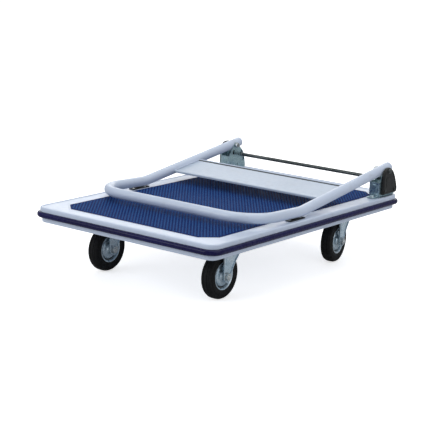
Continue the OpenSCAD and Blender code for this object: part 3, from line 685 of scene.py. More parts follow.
def mat():
    base = DECK_Z - 0.85
    sheet = [(-0.2, PAN_Z + 0.05), (-0.05, PAN_Z + 0.5), (-0.05, base - 0.1),    # growth, z
             (-0.5, base + 0.3), (-3.2, base + 0.3), (-3.8, base)]
    part = Part().add(grid([recess_loop(*row) for row in sheet]))
    half_x, half_y = RECESS_X - 6, RECESS_Y - 6
    pitch_x, pitch_y = 10.0, 6.6
    rows, columns = int(half_y // pitch_y), int((half_x + pitch_x) // pitch_x)
    levels = [(3.35, base - 0.1), (3.0, base + 0.42), (2.35, base + 0.78), (1.5, DECK_Z)]
    angles = np.linspace(0, 2 * pi, 8, endpoint=False) + pi / 8
    stud = grid([[(r * 0.86 * cos(a), r * sin(a), z) for a in angles] for r, z in levels])
    for j in range(-rows, rows + 1):
        stagger = 0.5 * pitch_x if j % 2 else 0.0
        for i in range(-columns, columns + 1):
            x, y = i * pitch_x + stagger, j * pitch_y
            past_cut = abs(x) + abs(y) > half_x + half_y - RECESS_CUT + 4
            if not (abs(x) > half_x or abs(y) > half_y or past_cut):
                part.add(stud, None, (x, y, 0))
    emit("studded_mat", part, "blue_mat", "deck_mat", angle=50, clean=False)


def bumper():
    profile = [(13.3, -12.7), (11.5, -12.42), (6.6, -12.4)]    # inset, z from the deck
    profile += arc(6.4, -18.8, 6.4, range(96, 181, 12)) + [(0, -19.7)]
    profile += arc(6.4, -20.6, 6.4, range(180, 265, 12))
    profile += [(6.6, -26.98), (11.0, -26.96), (12.6, -27.3), (13.3, -26.96)]
    rails = []
    for inwards, dz in profile:
        z = DECK_Z + dz
        loop = rim_loop(inwards, z, 16)
        # start and end at the joint in the middle of the handle end
        loop = loop[17:] + loop[:17]
        rails.append([(-0.35, HALF_Y - inwards, z)] + loop + [(0.35, HALF_Y - inwards, z)])
    part = Part().add(grid(np.array(rails).transpose(1, 0, 2)))
    emit("bumper_moulding", part, "navy_bumper", "bumper_strip", angle=50)


deck()
mat()
bumper()


# ------------------------------------------------------------------ handle
def on_loop(x, y, z=0.0):
    """Point in the hand loop's plane, from the kink."""
    return rotx(-LOOP_TILT) @ np.array([x, y, z]) + np.array([0, KINK_Y, KINK_Z])


def on_low(x, y, z=0.0):
    """Point in the side tubes' plane, from the kink towards the pivots."""
    return rotx(LOW_TILT) @ np.array([x, y, z]) + np.array([0, KINK_Y, KINK_Z])


def tube_frame():
    half = [on_loop(x, -LOOP_LEN) for x in np.linspace(0, TUBE_X - LOOP_R, 9)[:-1]]
    half += [on_loop(x, y) for x, y in
             arc(TUBE_X - LOOP_R, -LOOP_LEN + LOOP_R, LOOP_R, np.linspace(-90, 0, 25))]
    # round bend at the kink
    bend_r = 200.0
    cut = bend_r * tan((LOW_TILT + LOOP_TILT) / 2)
    half += [on_loop(TUBE_X, y) for y in np.linspace(-LOOP_LEN + LOOP_R, -cut, 5)[1:-1]]
    centre = on_loop(TUBE_X, -cut, bend_r)
    for share in np.linspace(0, 1, 9):
        a = -LOOP_TILT + (LOW_TILT + LOOP_TILT) * share
        half.append(centre + np.array([0, bend_r * sin(a), -bend_r * cos(a)]))
    half += [on_low(TUBE_X, y) for y in np.linspace(cut, LOW_LEN + TAIL, 14)[1:]]
    half = np.array(half)
    path = np.concatenate([half[1:][::-1] * np.array([-1, 1, 1]), half])
    part = Part().add(sweep(path, circle(TUBE_R, 40)))
    emit("handle_frame", part, "white_paint", "handle_tube", "handle", angle=40)


def tube_caps():
    """Flush ring and shallow dome in each tube end."""
    profile = [(13.2, -0.6), (13.75, 0.05), (13.7, 0.5), (13.1, 1.05), (11.8, 1.3), (11.2, 1.05),
               (10.6, 0.95), (7.5, 1.15), (3.5, 1.25), (0.5, 1.28)]
    part = Part().add(revolve(profile, 40), rotx(LOW_TILT) @ rotx(-pi / 2),
                      on_low(TUBE_X, LOW_LEN + TAIL)).both()
    emit("tube_caps", part, "white_paint", "tube_end_plugs", "handle")


def from_edge(edge, points):
    return [(edge + y, z) for y, z in points]


def cross_plate():
    """Plate coped to the tubes, with a raised rim along its rear edge."""
    section = from_edge(PLATE_FRONT, (    # y from the edge, z
        [(0, -4.3), (0, -0.9)] + arc(2.5, -0.9, 2.5, range(165, 89, -15))
        + [(9, 1.6), (11, 1.35), (13, 0.75), (15, 0.6)]))
    section += from_edge(PLATE_REAR, (
        [(-17, 0.6), (-14, 0.25), (-12, 0.0), (-10.2, 0.1), (-8.8, 0.9), (-8.0, 1.9),
         (-7.2, 2.5), (-6.2, 2.7), (-4.2, 2.65), (-2.8, 2.3)]
        + arc(-2.5, -0.9, 2.5, range(60, -1, -15), radius_y=2.6)
        + [(0, -4.3), (-0.5, -4.8), (-1.2, -4.8), (-1.6, -4.3), (-1.6, -1.2), (-2.1, -0.1),
           (-2.9, 0.7), (-4.4, 1.05), (-6.0, 1.1), (-6.8, 0.6), (-7.6, -0.5), (-9.2, -1.45),
           (-12, -1.6), (-15, -1.2)]))
    section += from_edge(PLATE_FRONT, [
        (15, -1.0), (13, -0.85), (9, 0), (2.8, 0.0), (2.1, -0.4), (1.6, -1.2), (1.6, -4.3),
        (1.2, -4.8), (0.5, -4.8)])
    rings = [[on_low(k * (TUBE_X - sqrt(TUBE_R * TUBE_R - min(z * z, 190)) + 0.25), y, z)
              for y, z in section] for k in np.linspace(-1, 1, 9)]
    emit("cross_plate", Part().add(grid(rings)), "plate_paint", "handle_cross_plate", "handle",
         angle=40)


def plate_groove_shade():
    """Dark strip in the groove in front of the raised rear rim, painted shade standing in for the
    shadow there.
    """
    section = from_edge(PLATE_REAR, [
        (-13.4, -0.6), (-13.2, 0.5), (-12.6, 0.75), (-10.2, 0.8), (-9.2, 1.0), (-8.6, 1.35),
        (-8.4, 1.2), (-8.8, -0.6)])
    rings = [[on_low(k * (TUBE_X - TUBE_R + 0.2), y, z) for y, z in section]
             for k in np.linspace(-1, 1, 9)]
    emit("plate_groove_shade", Part().add(grid(rings)), "black_rubber", body="handle",
         angle=40)


def plate_welds():
    """Beads between the cross plate and the tubes."""
    part = Part()
    rng = np.random.RandomState(7)
    front, rear = PLATE_FRONT, PLATE_REAR
    for z, start, end in ((2.5, front + 3, rear - 3), (-1.6, front + 6, front + 40),
                          (-1.6, rear - 40, rear - 6)):
        last = int((end - start) / 0.9)
        path, sizes = [], []
        for i in range(last + 1):
            x = TUBE_X - sqrt(TUBE_R * TUBE_R - z * z) - 0.35 + 0.18 * rng.randn()
            y = start + (end - start) * i / last
            path.append(on_low(x, y, z - (0.5 if z > 0 else -0.5)))
            sizes.append(bead_size(i, last, start=0.25, taper=4.0, ripple=0.16, pace=2.1,
                                   jitter=0.05 * rng.randn()))
        part.add(sweep(path, circle(1.75, 10), scale=sizes))
    emit("plate_welds", part.both(), "white_paint", body="handle", angle=60)


def bush_flanges():
    """Small bush flange on each side of the tube."""
    profile = [(5.15, -0.4), (6.9, -0.4), (6.9, 0.0), (8.2, 0.02), (8.3, 0.25), (8.1, 0.42),
               (5.3, 0.44), (5.15, 0.3)]
    part = Part()
    for side, turn in ((-1, ALONG_MINUS_X), (1, ALONG_X)):
        part.add(revolve(profile, 32, closed=True), turn,
                 (TUBE_X + side * (TUBE_R - 0.12), PIVOT_Y, PIVOT_Z))
    emit("bush_flanges", part.both(), "nylon", "pivot_bushes", "handle")


tube_frame()
tube_caps()
cross_plate()
plate_groove_shade()
plate_welds()
bush_flanges()


# ------------------------------------------------------------------ brackets
def cheek_loop():
    top = arc(PIVOT_Y, PIVOT_Z, 9, range(142, 46, -12))
    points = [(WEB_Y, BASE_Z), (WEB_Y, PIVOT_Z - 30)] + top
    points += [(PIVOT_Y + 37, PIVOT_Z - 22), (PIVOT_Y + 46.5, PIVOT_Z - 46),
               (PIVOT_Y + 51, PIVOT_Z - 66), (PIVOT_Y + 51, BASE_Z + 4), (PIVOT_Y + 43, BASE_Z)]
    return roundpoly(points, [1.5, 7] + [0] * len(top) + [22, 20, 12, 1.5, 1], 6)


def slot_loop():
    """Round-ended slot curved about the lever pin."""
    radius, half_width, start, end = 59.1, 6.25, 14.3, 37.3
    sweep_up = np.linspace(start, end, 8)
    half_turn = np.linspace(0, 180, 9)[1:-1]
    end_at, start_at = arc(LEVER_Y, LEVER_Z, radius, (end, start))
    return (arc(LEVER_Y, LEVER_Z, radius + half_width, sweep_up)
            + arc(*end_at, half_width, end + half_turn)
            + arc(LEVER_Y, LEVER_Z, radius - half_width, sweep_up[::-1])
            + arc(*start_at, half_width, start + 180 + half_turn))


def bracket_cheeks():
    hole = circle(5.2, 24, (PIVOT_Y, PIVOT_Z))
    # the inner cheek also has an opening below the pivot and a slit at its foot
    window = roundpoly([(PIVOT_Y - 18, PIVOT_Z - 29), (PIVOT_Y - 14, PIVOT_Z - 14),
                        (PIVOT_Y - 7.5, PIVOT_Z - 14), (PIVOT_Y - 6, PIVOT_Z - 29)], 2.5)
    foot = BASE_Z + BASE_T
    slit = [(PIVOT_Y + 9, foot), (PIVOT_Y + 10.8, foot), (PIVOT_Y + 10.8, foot + 15),
            (PIVOT_Y + 9, foot + 15)]
    part = Part().add(yz_plate([cheek_loop(), hole, window, slot_loop(), slit],
                               INNER_X, TUBE_X - CHEEK_IN, 0.4))
    return part.add(yz_plate([cheek_loop(), hole, slot_loop()], TUBE_X + CHEEK_IN, OUTER_X, 0.5))


def add_web(part):
    """Bent front web and the rib pressed into it."""
    top = PIVOT_Z - 32
    out, inn = CHEEK_OUT - 0.14, CHEEK_IN + 0.14      # the returns end inside the cheeks
    outer = [(-out, WEB_Y + 9), (-out, WEB_Y - 0.05), (out, WEB_Y - 0.05), (out, WEB_Y + 9)]
    inner = [(inn, WEB_Y + 9), (inn, WEB_Y + CHEEK_T), (-inn, WEB_Y + CHEEK_T), (-inn, WEB_Y + 9)]
    section = (roundpoly(outer, [0, 4.2, 4.2, 0], 6, closed=False)
               + roundpoly(inner, [0, 1.7, 1.7, 0], 6, closed=False))
    part.add(plate([[(TUBE_X + x, y) for x, y in section]], BASE_Z, top, 0.45))
    rib = roundpoly([(TUBE_X - 9, BASE_Z + 12), (TUBE_X + 9, BASE_Z + 12),
                     (TUBE_X + 7, top - 6), (TUBE_X - 7, top - 6)], 4, 5)
    part.add(plate([rib], 0, 1.4, 0.6), rotx(pi / 2), (0, WEB_Y + 0.5, 0), flip=True)


def add_base(part):
    """Base plate with a front tongue, bend fillets and the weld bead under the web."""
    half, front = CHEEK_OUT - 0.16, WEB_Y + 0.2
    loop = [(-half, front), (-13, front), (-13, WEB_Y - 23), (13, WEB_Y - 23), (13, front),
            (half, front), (half, PIVOT_Y + 42.8), (8, PIVOT_Y + 50.8), (-half, PIVOT_Y + 50.8)]
    loop = roundpoly([(TUBE_X + x, y) for x, y in loop], [1, 2, 8, 8, 2, 1, 2, 2, 4], 5)
    part.add(plate([loop], BASE_Z, BASE_Z + BASE_T, 0.5))
    fillet = [(0, 0), (2.2, 0), (1.0, 0.35), (0.35, 1.0), (0, 2.2)]
    for side in (-1, 1):
        section = [(TUBE_X + side * (CHEEK_IN - x), BASE_Z + BASE_T - 0.02 + z) for x, z in fillet]
        part.add(prism_y(section, WEB_Y + CHEEK_T, PIVOT_Y + 42))
    rng = np.random.RandomState(3)
    path = [(INNER_X + 4 + (2 * CHEEK_OUT - 8) * i / 36, WEB_Y - 0.2,
             BASE_Z + BASE_T + 0.1 + 0.08 * rng.randn()) for i in range(37)]
    sizes = [bead_size(i, 36, start=0.3, taper=4, ripple=0.15, pace=2.2) for i in range(37)]
    part.add(sweep(path, circle(1.3, 8), scale=sizes))


def brackets():
    part = bracket_cheeks()
    add_web(part)
    add_base(part)
    emit("hinge_bracket_right", part, "bracket_zinc", "bracket_right")
    emit("hinge_bracket_left", part.mirrored(), "bracket_zinc", "bracket_left")


def bracket_bolts():
    bolts, nuts = Part(), Part()
    for k, y in enumerate((PIVOT_Y - 46, PIVOT_Y - 10, PIVOT_Y + 38)):
        turn = rotz(0.4 + 1.1 * k)
        seat, under = (TUBE_X, y, BASE_Z + BASE_T), (TUBE_X, y, UNDER_Z)
        bolts.add(disc(7.6, 0.02, 1.3, 0.35), None, seat)
        bolts.add(hexhead(12.4, 3.0), turn, (TUBE_X, y, BASE_Z + BASE_T + 1.0))
        bolts.add(disc(4.6, 3.2, 4.15), None, seat)
        bolts.add(thread(4, -9, 0), None, under)
        nuts.add(disc(8.6, -1.25, -0.02, 0.35), None, under)
        nuts.add(hexhead(13, 5.6, both=True), turn @ TURN_OVER, (TUBE_X, y, UNDER_Z - 1.2))
    emit("deck_bolts", bolts.both(), "bright_zinc", "bracket_bolts")
    emit("deck_nuts", nuts.both(), "bright_zinc", "bracket_nuts")


brackets()
bracket_bolts()


# ------------------------------------------------------------------ side covers
def bezier(start, pull, end, steps):
    """Quadratic curve without its first point."""
    shares = [i / steps for i in range(1, steps + 1)]
    return [tuple((1 - t) ** 2 * a + 2 * t * (1 - t) * b + t * t * c
                  for a, b, c in zip(start, pull, end)) for t in shares]


def cover_loop(inwards):
    front, rear = PIVOT_Y - 27 + inwards, PIVOT_Y + 50 - inwards
    foot, top = PIVOT_Z - 67.5 + inwards, PIVOT_Z + 9.4 - inwards
    crown, waist = (PIVOT_Y + 2, top), PIVOT_Z - 20
    shoulder = (PIVOT_Y + 37 - inwards, waist)
    points = [(front + 4, foot), (front + 1.2, foot + 1.2), (front, foot + 4),
              (front, (foot + PIVOT_Z - 20) / 2), (front, waist)]
    points += bezier((front, waist), (front + 3, top), crown, 14)
    points += bezier(crown, (PIVOT_Y + 23 - inwards, top), shoulder, 14)
    points += bezier(shoulder, (PIVOT_Y + 46 - inwards, PIVOT_Z - 37), (rear, foot + 12), 8)
    points += [(rear, foot + 6), (rear - 1.0, foot + 2.6), (rear - 2.8, foot + 0.9),
               (rear - 5.5, foot)]
    return points[::-1]


def covers():
    back, face = OUTER_X + 0.2, COVER_X
    levels = [    # inset, x
        (0.3, back), (0, back + 0.3), (0, back + 3.9), (0.3, back + 5.3), (0.9, back + 6.8),
        (1.7, back + 8.2), (2.5, back + 9.2), (3.3, face - 0.12), (4.0, face), (5.4, face),
        (5.9, face - 0.2), (6.3, face - 0.75), (6.9, face - 1.1), (8.0, face - 1.1)]
    part = Part().add(grid([[(x, y, z) for y, z in cover_loop(inwards)] for inwards, x in levels]))
    # bosses round the pivot and the screws
    for (y, z), radius in zip(((PIVOT_Y, PIVOT_Z),) + COVER_SCREWS, (6.9, 5.6, 5.6)):
        part.add(disc(radius, face - 3.4, face - 0.05, 0.5), ALONG_X, (0, y, z))
    # raised panel on the face
    panel = roundpoly([(PIVOT_Y - 12, PIVOT_Z - 47), (PIVOT_Y + 26, PIVOT_Z - 47),
                       (PIVOT_Y + 21, PIVOT_Z - 18), (PIVOT_Y - 12, PIVOT_Z - 18)], 5, 5)
    part.add(yz_plate([panel], face - 2.2, face - 0.45, 0.5))
    emit("pivot_cover_right", part, "black_plastic", "side_cover_right")
    emit("pivot_cover_left", part.mirrored(), "black_plastic", "side_cover_left")


def cover_screws():
    """Cross-recess heads."""
    cross = []
    for k in range(4):
        c, s = cos(k * pi / 2 + 0.5), sin(k * pi / 2 + 0.5)
        cross += [(x * c - y * s, x * s + y * c)
                  for x, y in ((0.45, -0.45), (1.9, -0.4), (1.9, 0.4))]
    part = Part()
    for y, z in COVER_SCREWS:
        part.add(plate([circle(3.6, 32), cross], 0.0, 1.7, 0.35), ALONG_X, (COVER_X + 0.02, y, z))
        part.add(disc(3.0, -0.3, 0.7, 0.1), ALONG_X, (COVER_X + 0.02, y, z))
    emit("cover_screw_heads", part.both(), "dark_steel", "cover_screws")


def pivot_bolts():
    seat = (COVER_X, PIVOT_Y, PIVOT_Z)
    part = Part().add(disc(6.6, 0.02, 1.2), ALONG_X, seat)
    part.add(hexhead(10, 3.5), ALONG_X @ rotz(0.35), (COVER_X + 1.1, PIVOT_Y, PIVOT_Z))
    part.add(revolve([(5.0, -44), (5.0, 0.5)], 32), ALONG_X, seat)
    part.add(thread(5, INNER_X - COVER_X - 9, INNER_X - COVER_X), ALONG_X, seat)
    emit("pivot_bolt_pair", part.both(), "dark_steel", "pivot_bolts")
    part = Part().add(disc(8.0, 0.02, 1.5, 0.35), ALONG_MINUS_X, (INNER_X, PIVOT_Y, PIVOT_Z))
    part.add(hexhead(13, 5.8, both=True), ALONG_MINUS_X @ rotz(0.2),
             (INNER_X - 1.4, PIVOT_Y, PIVOT_Z))
    emit("pivot_nut_pair", part.both(), "bright_zinc", "pivot_nuts")


covers()
cover_screws()
pivot_bolts()


# ------------------------------------------------------------------ foot lock
def lock_rod():
    profile = [(BAR_R - 1.0, -BAR_X), (BAR_R, -BAR_X + 1.0), (BAR_R, -90), (BAR_R, 90),
               (BAR_R, BAR_X - 1.0), (BAR_R - 1.0, BAR_X)]
    rod = Part().add(revolve(profile, 32), ALONG_X, (0, BAR_Y, BAR_Z))
    emit("lock_rod", rod, "dark_steel", "lock_bar", "foot_lock")
    clips = Part().add(disc(7, 0, 2.6, 0.5, bore=BAR_R + 0.02), ALONG_X,
                       (INNER_X - 3.2, BAR_Y, BAR_Z)).both()
    emit("rod_clips", clips, "dark_steel", "lock_bar_clips", "foot_lock")


def slot_guards():
    """Thin guards that ride with the bar and close the slots in the inner cheeks."""
    loop = (arc(LEVER_Y, LEVER_Z, 50.2, np.linspace(43, 8, 9))
            + arc(LEVER_Y, LEVER_Z, 67.4, np.linspace(8, 43, 9)))
    face = TUBE_X - CHEEK_IN
    part = Part().add(yz_plate([loop], face + 0.05, face + 0.45, 0.1))
    emit("slot_guards", part.both(), "bracket_zinc", body="foot_lock")


def lever_pins():
    """Pins with their collars and heads."""
    profile = [(3.4, INNER_X - 1), (4, INNER_X - 0.4), (4, OUTER_X - 0.3), (3.6, OUTER_X + 0.1)]
    part = Part().add(revolve(profile, 28), ALONG_X, (0, LEVER_Y, LEVER_Z))
    for x0, x1 in ((INNER_X - 2.6, INNER_X - 0.05), (TUBE_X - CHEEK_IN + 0.3, TUBE_X - 2.8),
                   (TUBE_X + 2.8, TUBE_X + CHEEK_IN - 0.3)):
        part.add(disc(6.5, x0, x1, 0.4), ALONG_X, (0, LEVER_Y, LEVER_Z))
    emit("lever_pins", part.both(), "bracket_zinc", "latch_pins")


def return_springs():
    low, high = box_mm("latch_springs")
    z0, z1 = low[2] + 0.8, high[2] - 0.8
    steps, turns, radius = 150, 6, 4.6
    flat = 0.10                               # share of the wire lying flat at each end
    for side, name, replaces in ((1, "right", "latch_springs"), (-1, "left", None)):
        path = []
        for i in range(steps + 1):
            share = i / steps
            a = 2 * pi * turns * share
            rise = min(max((share - flat) / (1 - 2 * flat), 0.0), 1.0)
            path.append((side * TUBE_X + radius * cos(a), SPRING_Y + radius * sin(a),
                         z0 + (z1 - z0) * rise))
        part = Part().add(sweep(path, circle(0.8, 8), up=(0, 0, 1)))
        ob = emit("return_spring_" + name, part, "dark_steel", replaces, angle=60)
        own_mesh(ob)


lock_rod()
slot_guards()
lever_pins()
return_springs()


# ------------------------------------------------------------------ casters
def leg_loop(top):
    """Outline of a fork leg in (y from the axle, z)."""
    extra = top - 140
    points = [(-14.5, AXLE_Z + 12), (-15, AXLE_Z + 30), (-16, 114), (-18.5 - extra * 0.05, top),
              (62 + extra * 0.1, top), (50, 115), (34, 97), (25, 84), (17.3, AXLE_Z + 5.6)]
    loop = roundpoly(points, [0, 30, 30, 2, 2, 30, 24, 20, 0], 5)
    return (loop + arc(1.5, AXLE_Z, 16, range(14, -191, -12)))[::-1]


def fork_legs(top):
    """Pair of pressed legs about x 0, with their proud rims and a rib up the web."""
    loop = leg_loop(top)
    part = Part().add(yz_plate([loop, circle(6.2, 24, (0, AXLE_Z))], 21, 24, 0.5))
    part.add(yz_plate([loop, inset(loop, 2.9)], 22.5, 26.2, 0.9))
    rib = roundpoly([(-4, AXLE_Z + 30), (8, AXLE_Z + 30), (20, top - 16), (-5, top - 16)], 5, 6)
    return part.add(yz_plate([rib], 23, 25.1, 0.8)).both()


def top_plate(y):
    loop = roundpoly([(-42, y - 46), (42, y - 46), (42, y + 46), (-42, y + 46)], 7, 6)
    holes = [circle(4.3, 20, (sx * BOLT_DX, y + sy * BOLT_DY)) for sx in (-1, 1) for sy in (-1, 1)]
    return plate([loop] + holes, PLATE_TOP - 3, PLATE_TOP, 0.5)


def rigid_fork():
    part = Part().add(top_plate(22)).add(fork_legs(PLATE_TOP - 2.8).get())
    # bend radius where the legs leave the plate
    fillet = [(0, 0), (2.3, 0), (1.1, -0.4), (0.4, -1.2), (0, -2.6)]
    for side in (-1, 1):
        for face, away in ((24.0, 1), (21.0, -1)):
            section = [(side * (face + away * x), PLATE_TOP - 3 + z) for x, z in fillet]
            part.add(prism_y(section, -17, 60))
    return part


def swivel_head():
    """Top plate with its pressed ball cup."""
    cup = [    # radius, z above the ball centres
        (20, 4.2), (20.5, 0.9), (22.6, 0.5), (23.4, 1.9), (24.6, 3.0), (26, 3.3), (27.4, 3.0),
        (28.6, 1.9), (29.4, 0.6), (31.6, 0.45), (32.8, 1.1), (33.0, 2.4), (32.8, 4.6),
        (32.0, 6.4), (31.0, 7.0), (31.0, 8.2), (6.1, 8.2), (6.1, 4.6), (19, 4.5)]
    cup = [(r, RACE_Z + z) for r, z in cup]
    return Part().add(top_plate(0)).add(revolve(cup, 64, closed=True))


def swivel_fork():
    """Legs, crown plate and lower ball race, about the kingpin."""
    part = Part().add(fork_legs(140.6).get(), None, (0, -TRAIL, 0))
    front = -TRAIL - 18.5
    crown = [(-24, front), (24, front), (24, -30), (37.9, -4), (37.9, 4), (24, 30), (24, 34),
             (-24, 34), (-24, 30), (-37.9, 4), (-37.9, -4), (-24, -30)]
    crown = roundpoly(crown, [4, 4, 10, 36, 36, 10, 6, 6, 10, 36, 36, 10], 6)
    part.add(plate([crown, circle(6.2, 24)], 140, 143, 0.6))
    race = [    # radius, z
        (6.1, 142.8), (6.1, 144.4), (20, 144.4), (20.2, 149.2), (22.4, 149.5), (23.4, 148.1),
        (24.6, 147.0), (26, 146.7), (27.4, 147.0), (28.6, 148.1), (29.4, 149.3), (32.2, 149.4),
        (33, 148.6), (33, 146.6), (32.6, 144.6), (34.2, 143.2), (35.0, 142.8)]
    return part.add(revolve(race, 64, closed=True))


def race_balls(count=18):
    part = Part()
    for k in range(count):
        a = k * 2 * pi / count
        part.add(revolve(arc(0, 0, 3.2, range(-84, 85, 14)), 18), None,
                 (RACE_R * cos(a), RACE_R * sin(a), RACE_Z))
    return part


def casters():
    for side, name in ((-1, "left"), (1, "right")):
        x, yaw = side * CASTER_X, rotz(PARK_YAW[name])
        pin, body = (x, KINGPIN_Y, 0), "swivel_" + name
        emit("rigid_caster_fork_" + name, rigid_fork().placed(None, (x, AXLE_Y, 0)),
             "caster_zinc", "rigid_fork_" + name)
        emit("swivel_head_" + name, swivel_head().placed(None, pin), "caster_zinc",
             "swivel_plate_" + name)
        emit("swivel_caster_fork_" + name, swivel_fork().placed(yaw, pin), "caster_zinc",
             "swivel_fork_" + name, body)
        emit("ball_ring_" + name, race_balls().placed(yaw, pin), "ball_steel",
             "race_balls_" + name, body, angle=70)


def kingpins():
    """Riveted heads on top, nuts and washers below."""
    top, pin = PLATE_TOP, (CASTER_X, KINGPIN_Y, 0)
    profile = [(5.2, 130), (6, 130.8), (6, top), (10.8, top + 0.02), (11, top + 0.8),
               (10.2, top + 2.6), (8.4, top + 4.2), (5, top + 4.5)]
    rivets = Part().add(revolve(profile, 36), None, pin)
    nuts = Part().add(disc(11.5, 138, 139.8, 0.4), None, pin)
    nuts.add(hexhead(19, 7.2, both=True), rotz(0.3) @ TURN_OVER, (CASTER_X, KINGPIN_Y, 138.2))
    emit("kingpin_rivets", rivets.both(), "bright_zinc", "kingpins")
    emit("kingpin_locknuts", nuts.both(), "bright_zinc", "kingpin_nuts")


def caster_bolts():
    spots = [(side * CASTER_X + sx * BOLT_DX, y + sy * BOLT_DY) for side in (-1, 1)
             for y in (FIXED_Y, KINGPIN_Y) for sx in (-1, 1) for sy in (-1, 1)]
    bolts, nuts = Part(), Part()
    for k, (x, y) in enumerate(spots):
        seat = (x, y, PLATE_TOP)
        bolts.add(hexhead(13, 5.3), TURN_OVER, (x, y, PLATE_TOP - 3.05))
        bolts.add(disc(4.0, -3.1, 3.0, 0.2), None, seat)
        bolts.add(thread(4, -9.9, -2, 24), TURN_OVER, seat)
        nuts.add(disc(8.2, 2.02, 3.4), None, seat)
        nuts.add(hexhead(13, 5.2, both=True), rotz(0.5 * k + 0.3), (x, y, PLATE_TOP + 3.3))
    emit("caster_bolt_set", bolts, "bright_zinc", "caster_bolts")
    emit("caster_nut_set", nuts, "bright_zinc", "caster_nuts")


casters()
kingpins()
caster_bolts()


# ------------------------------------------------------------------ wheels, axle along z here
TYRE_HALF = [    # radius, distance from the middle plane
    (35.2, 9.5), (35.4, 12.0), (36.4, 13.2), (38.0, 14.0), (40.2, 14.7), (42.5, 15.05),
    (45.6, 15.3), (46.8, 15.4), (47.1, 14.9), (47.9, 14.9), (48.2, 15.45), (50.4, 15.5),
    (51.2, 15.45), (51.7, 14.5), (53.3, 14.5), (53.8, 15.45), (55.2, 15.5), (57.0, 15.2),
    (58.6, 14.4), (59.6, 13.2), (60.2, 11.7), (60.0, 10.9), (60.4, 10.2), (61.2, 9.9),
    (61.9, 8.6), (62.2, 7.2), (62.2, 6.2), (61.6, 5.8), (60.9, 5.6), (60.9, 4.7),
    (61.6, 4.4), (62.4, 3.9), (62.5, 2.0)]
RIM_HALF = [
    (10, 17), (13.2, 17), (13.9, 16.3), (14.6, 14.4), (16.0, 13.4), (20, 12.5), (25.2, 11.75),
    (26.8, 11.2), (27.8, 10.0), (28.5, 5.6), (29.0, 3.5), (29.8, 2.7), (30.8, 2.7),
    (31.4, 3.6), (32.0, 5.6), (32.6, 10.8), (33.4, 13.3), (34.6, 14.6), (36.0, 15.2),
    (37.0, 15.1), (37.45, 14.6), (37.15, 14.0), (35.9, 12.9), (35.25, 12.2), (35.1, 9.5)]
# dark ring set into the rim's groove: painted shade standing in for the shadowed well
GROOVE_SHADE_RING = [
    (28.2, 2.4), (32.6, 2.4), (32.45, 8.4), (31.75, 8.2), (31.1, 4.2), (30.2, 3.4),
    (29.4, 4.2), (28.75, 8.2), (28.15, 8.4)]
BUSH = [
    (6.1, 17.2), (9.2, 17.2), (11.3, 17.3), (11.5, 17.7), (11.5, 20.4), (11.1, 20.75),
    (6.4, 20.8), (6.1, 20.5)]


def symmetric(half, steps):
    """Ring from half a profile and its mirror image."""
    return revolve(half + [(r, -z) for r, z in half[::-1]], steps, closed=True)


def ring_pair(profile, steps):
    part = Part()
    for _, turn in BOTH_ENDS:
        part.add(revolve(profile, steps, closed=True), turn)
    return part


def wheel_rim():
    """Rim with five rivets on each face."""
    part = Part().add(symmetric(RIM_HALF, 80))
    rivet = revolve([(2.6, 0), (2.6, 0.6), (2.2, 1.3), (1.3, 1.7), (0.3, 1.8)], 20)
    for end, turn in BOTH_ENDS:
        for k in range(5):
            a = 2 * pi * k / 5 + 0.3
            part.add(rivet, turn, (21.5 * cos(a), 21.5 * sin(a), end * 11.9))
    return part


def wheel_bolt():
    part = Part().add(revolve([(6, -24.2), (6, 24.0)], 32))
    part.add(thread(6, -33.5, -20), TURN_OVER)
    part.add(disc(11, -25.6, -24.05, 0.35))
    return part.add(hexhead(18, 5.2), rotz(0.25) @ TURN_OVER, (0, 0, -25.4))


def wheel_nut():
    part = Part().add(disc(11.2, 24.05, 25.5, 0.35))
    return part.add(hexhead(18, 6.6, both=True), rotz(0.6), (0, 0, 25.4))


def wheels():
    tyre = Part().add(symmetric([(r, -z) for r, z in TYRE_HALF], 96))
    rim, groove, bush = wheel_rim(), ring_pair(GROOVE_SHADE_RING, 80), ring_pair(BUSH, 40)
    bolt, nut = wheel_bolt(), wheel_nut()
    seats = {"fl": "root", "fr": "root", "rl": "swivel_left", "rr": "swivel_right"}
    spins = {"fl": 0.2, "fr": 1.1, "rl": 2.3, "rr": 0.7}
    for wheel, seat in seats.items():
        centre, axis = joint_mm("wheel_spin_" + wheel), JOINTS["wheel_spin_" + wheel]["axis"]
        turn = rotz(atan2(axis[1], axis[0])) @ ALONG_X
        at = (turn @ rotz(spins[wheel]), centre)
        body = "wheel_" + wheel
        emit("tyre_tread_" + wheel, tyre.placed(*at), "tyre_rubber", "tyre_" + wheel, body,
             angle=38)
        emit("wheel_rim_" + wheel, rim.placed(*at), "caster_zinc", "rim_" + wheel, body, angle=40)
        # dark ring of painted shade in the rim groove
        emit("rim_groove_shade_" + wheel, groove.placed(*at), "dark_steel", body=body)
        emit("wheel_bush_" + wheel, bush.placed(*at), "bright_zinc", "hub_bush_" + wheel, body)
        emit("wheel_bolt_" + wheel, bolt.placed(turn, centre), "bright_zinc",
             "axle_bolt_" + wheel, seat)
        emit("wheel_nut_" + wheel, nut.placed(turn, centre), "bright_zinc",
             "axle_nut_" + wheel, seat)


wheels()


# ------------------------------------------------------------------ underside and rest pads
CHANNEL_H = UNDER_Z - PLATE_TOP
CROSS_W, LONG_W, LONG_X = 98, 60, 110
LONG_Y0, LONG_Y1 = FIXED_Y + 50, KINGPIN_Y - 50


def channel(length, width, height, wall, radius=3.0):
    """Channel along x, open upwards."""
    half, inner = width / 2, width / 2 - wall
    section = roundpoly([(-half, height), (-half, 0), (half, 0), (half, height)],
                        [0, radius, radius, 0], 5, closed=False)
    section += roundpoly([(inner, height), (inner, wall), (-inner, wall), (-inner, height)],
                         [0, radius - wall, radius - wall, 0], 5, closed=False)
    end = length / 2
    return grid([[(x, y, z) for y, z in section] for x in (-end, -end + 0.5, end - 0.5, end)])


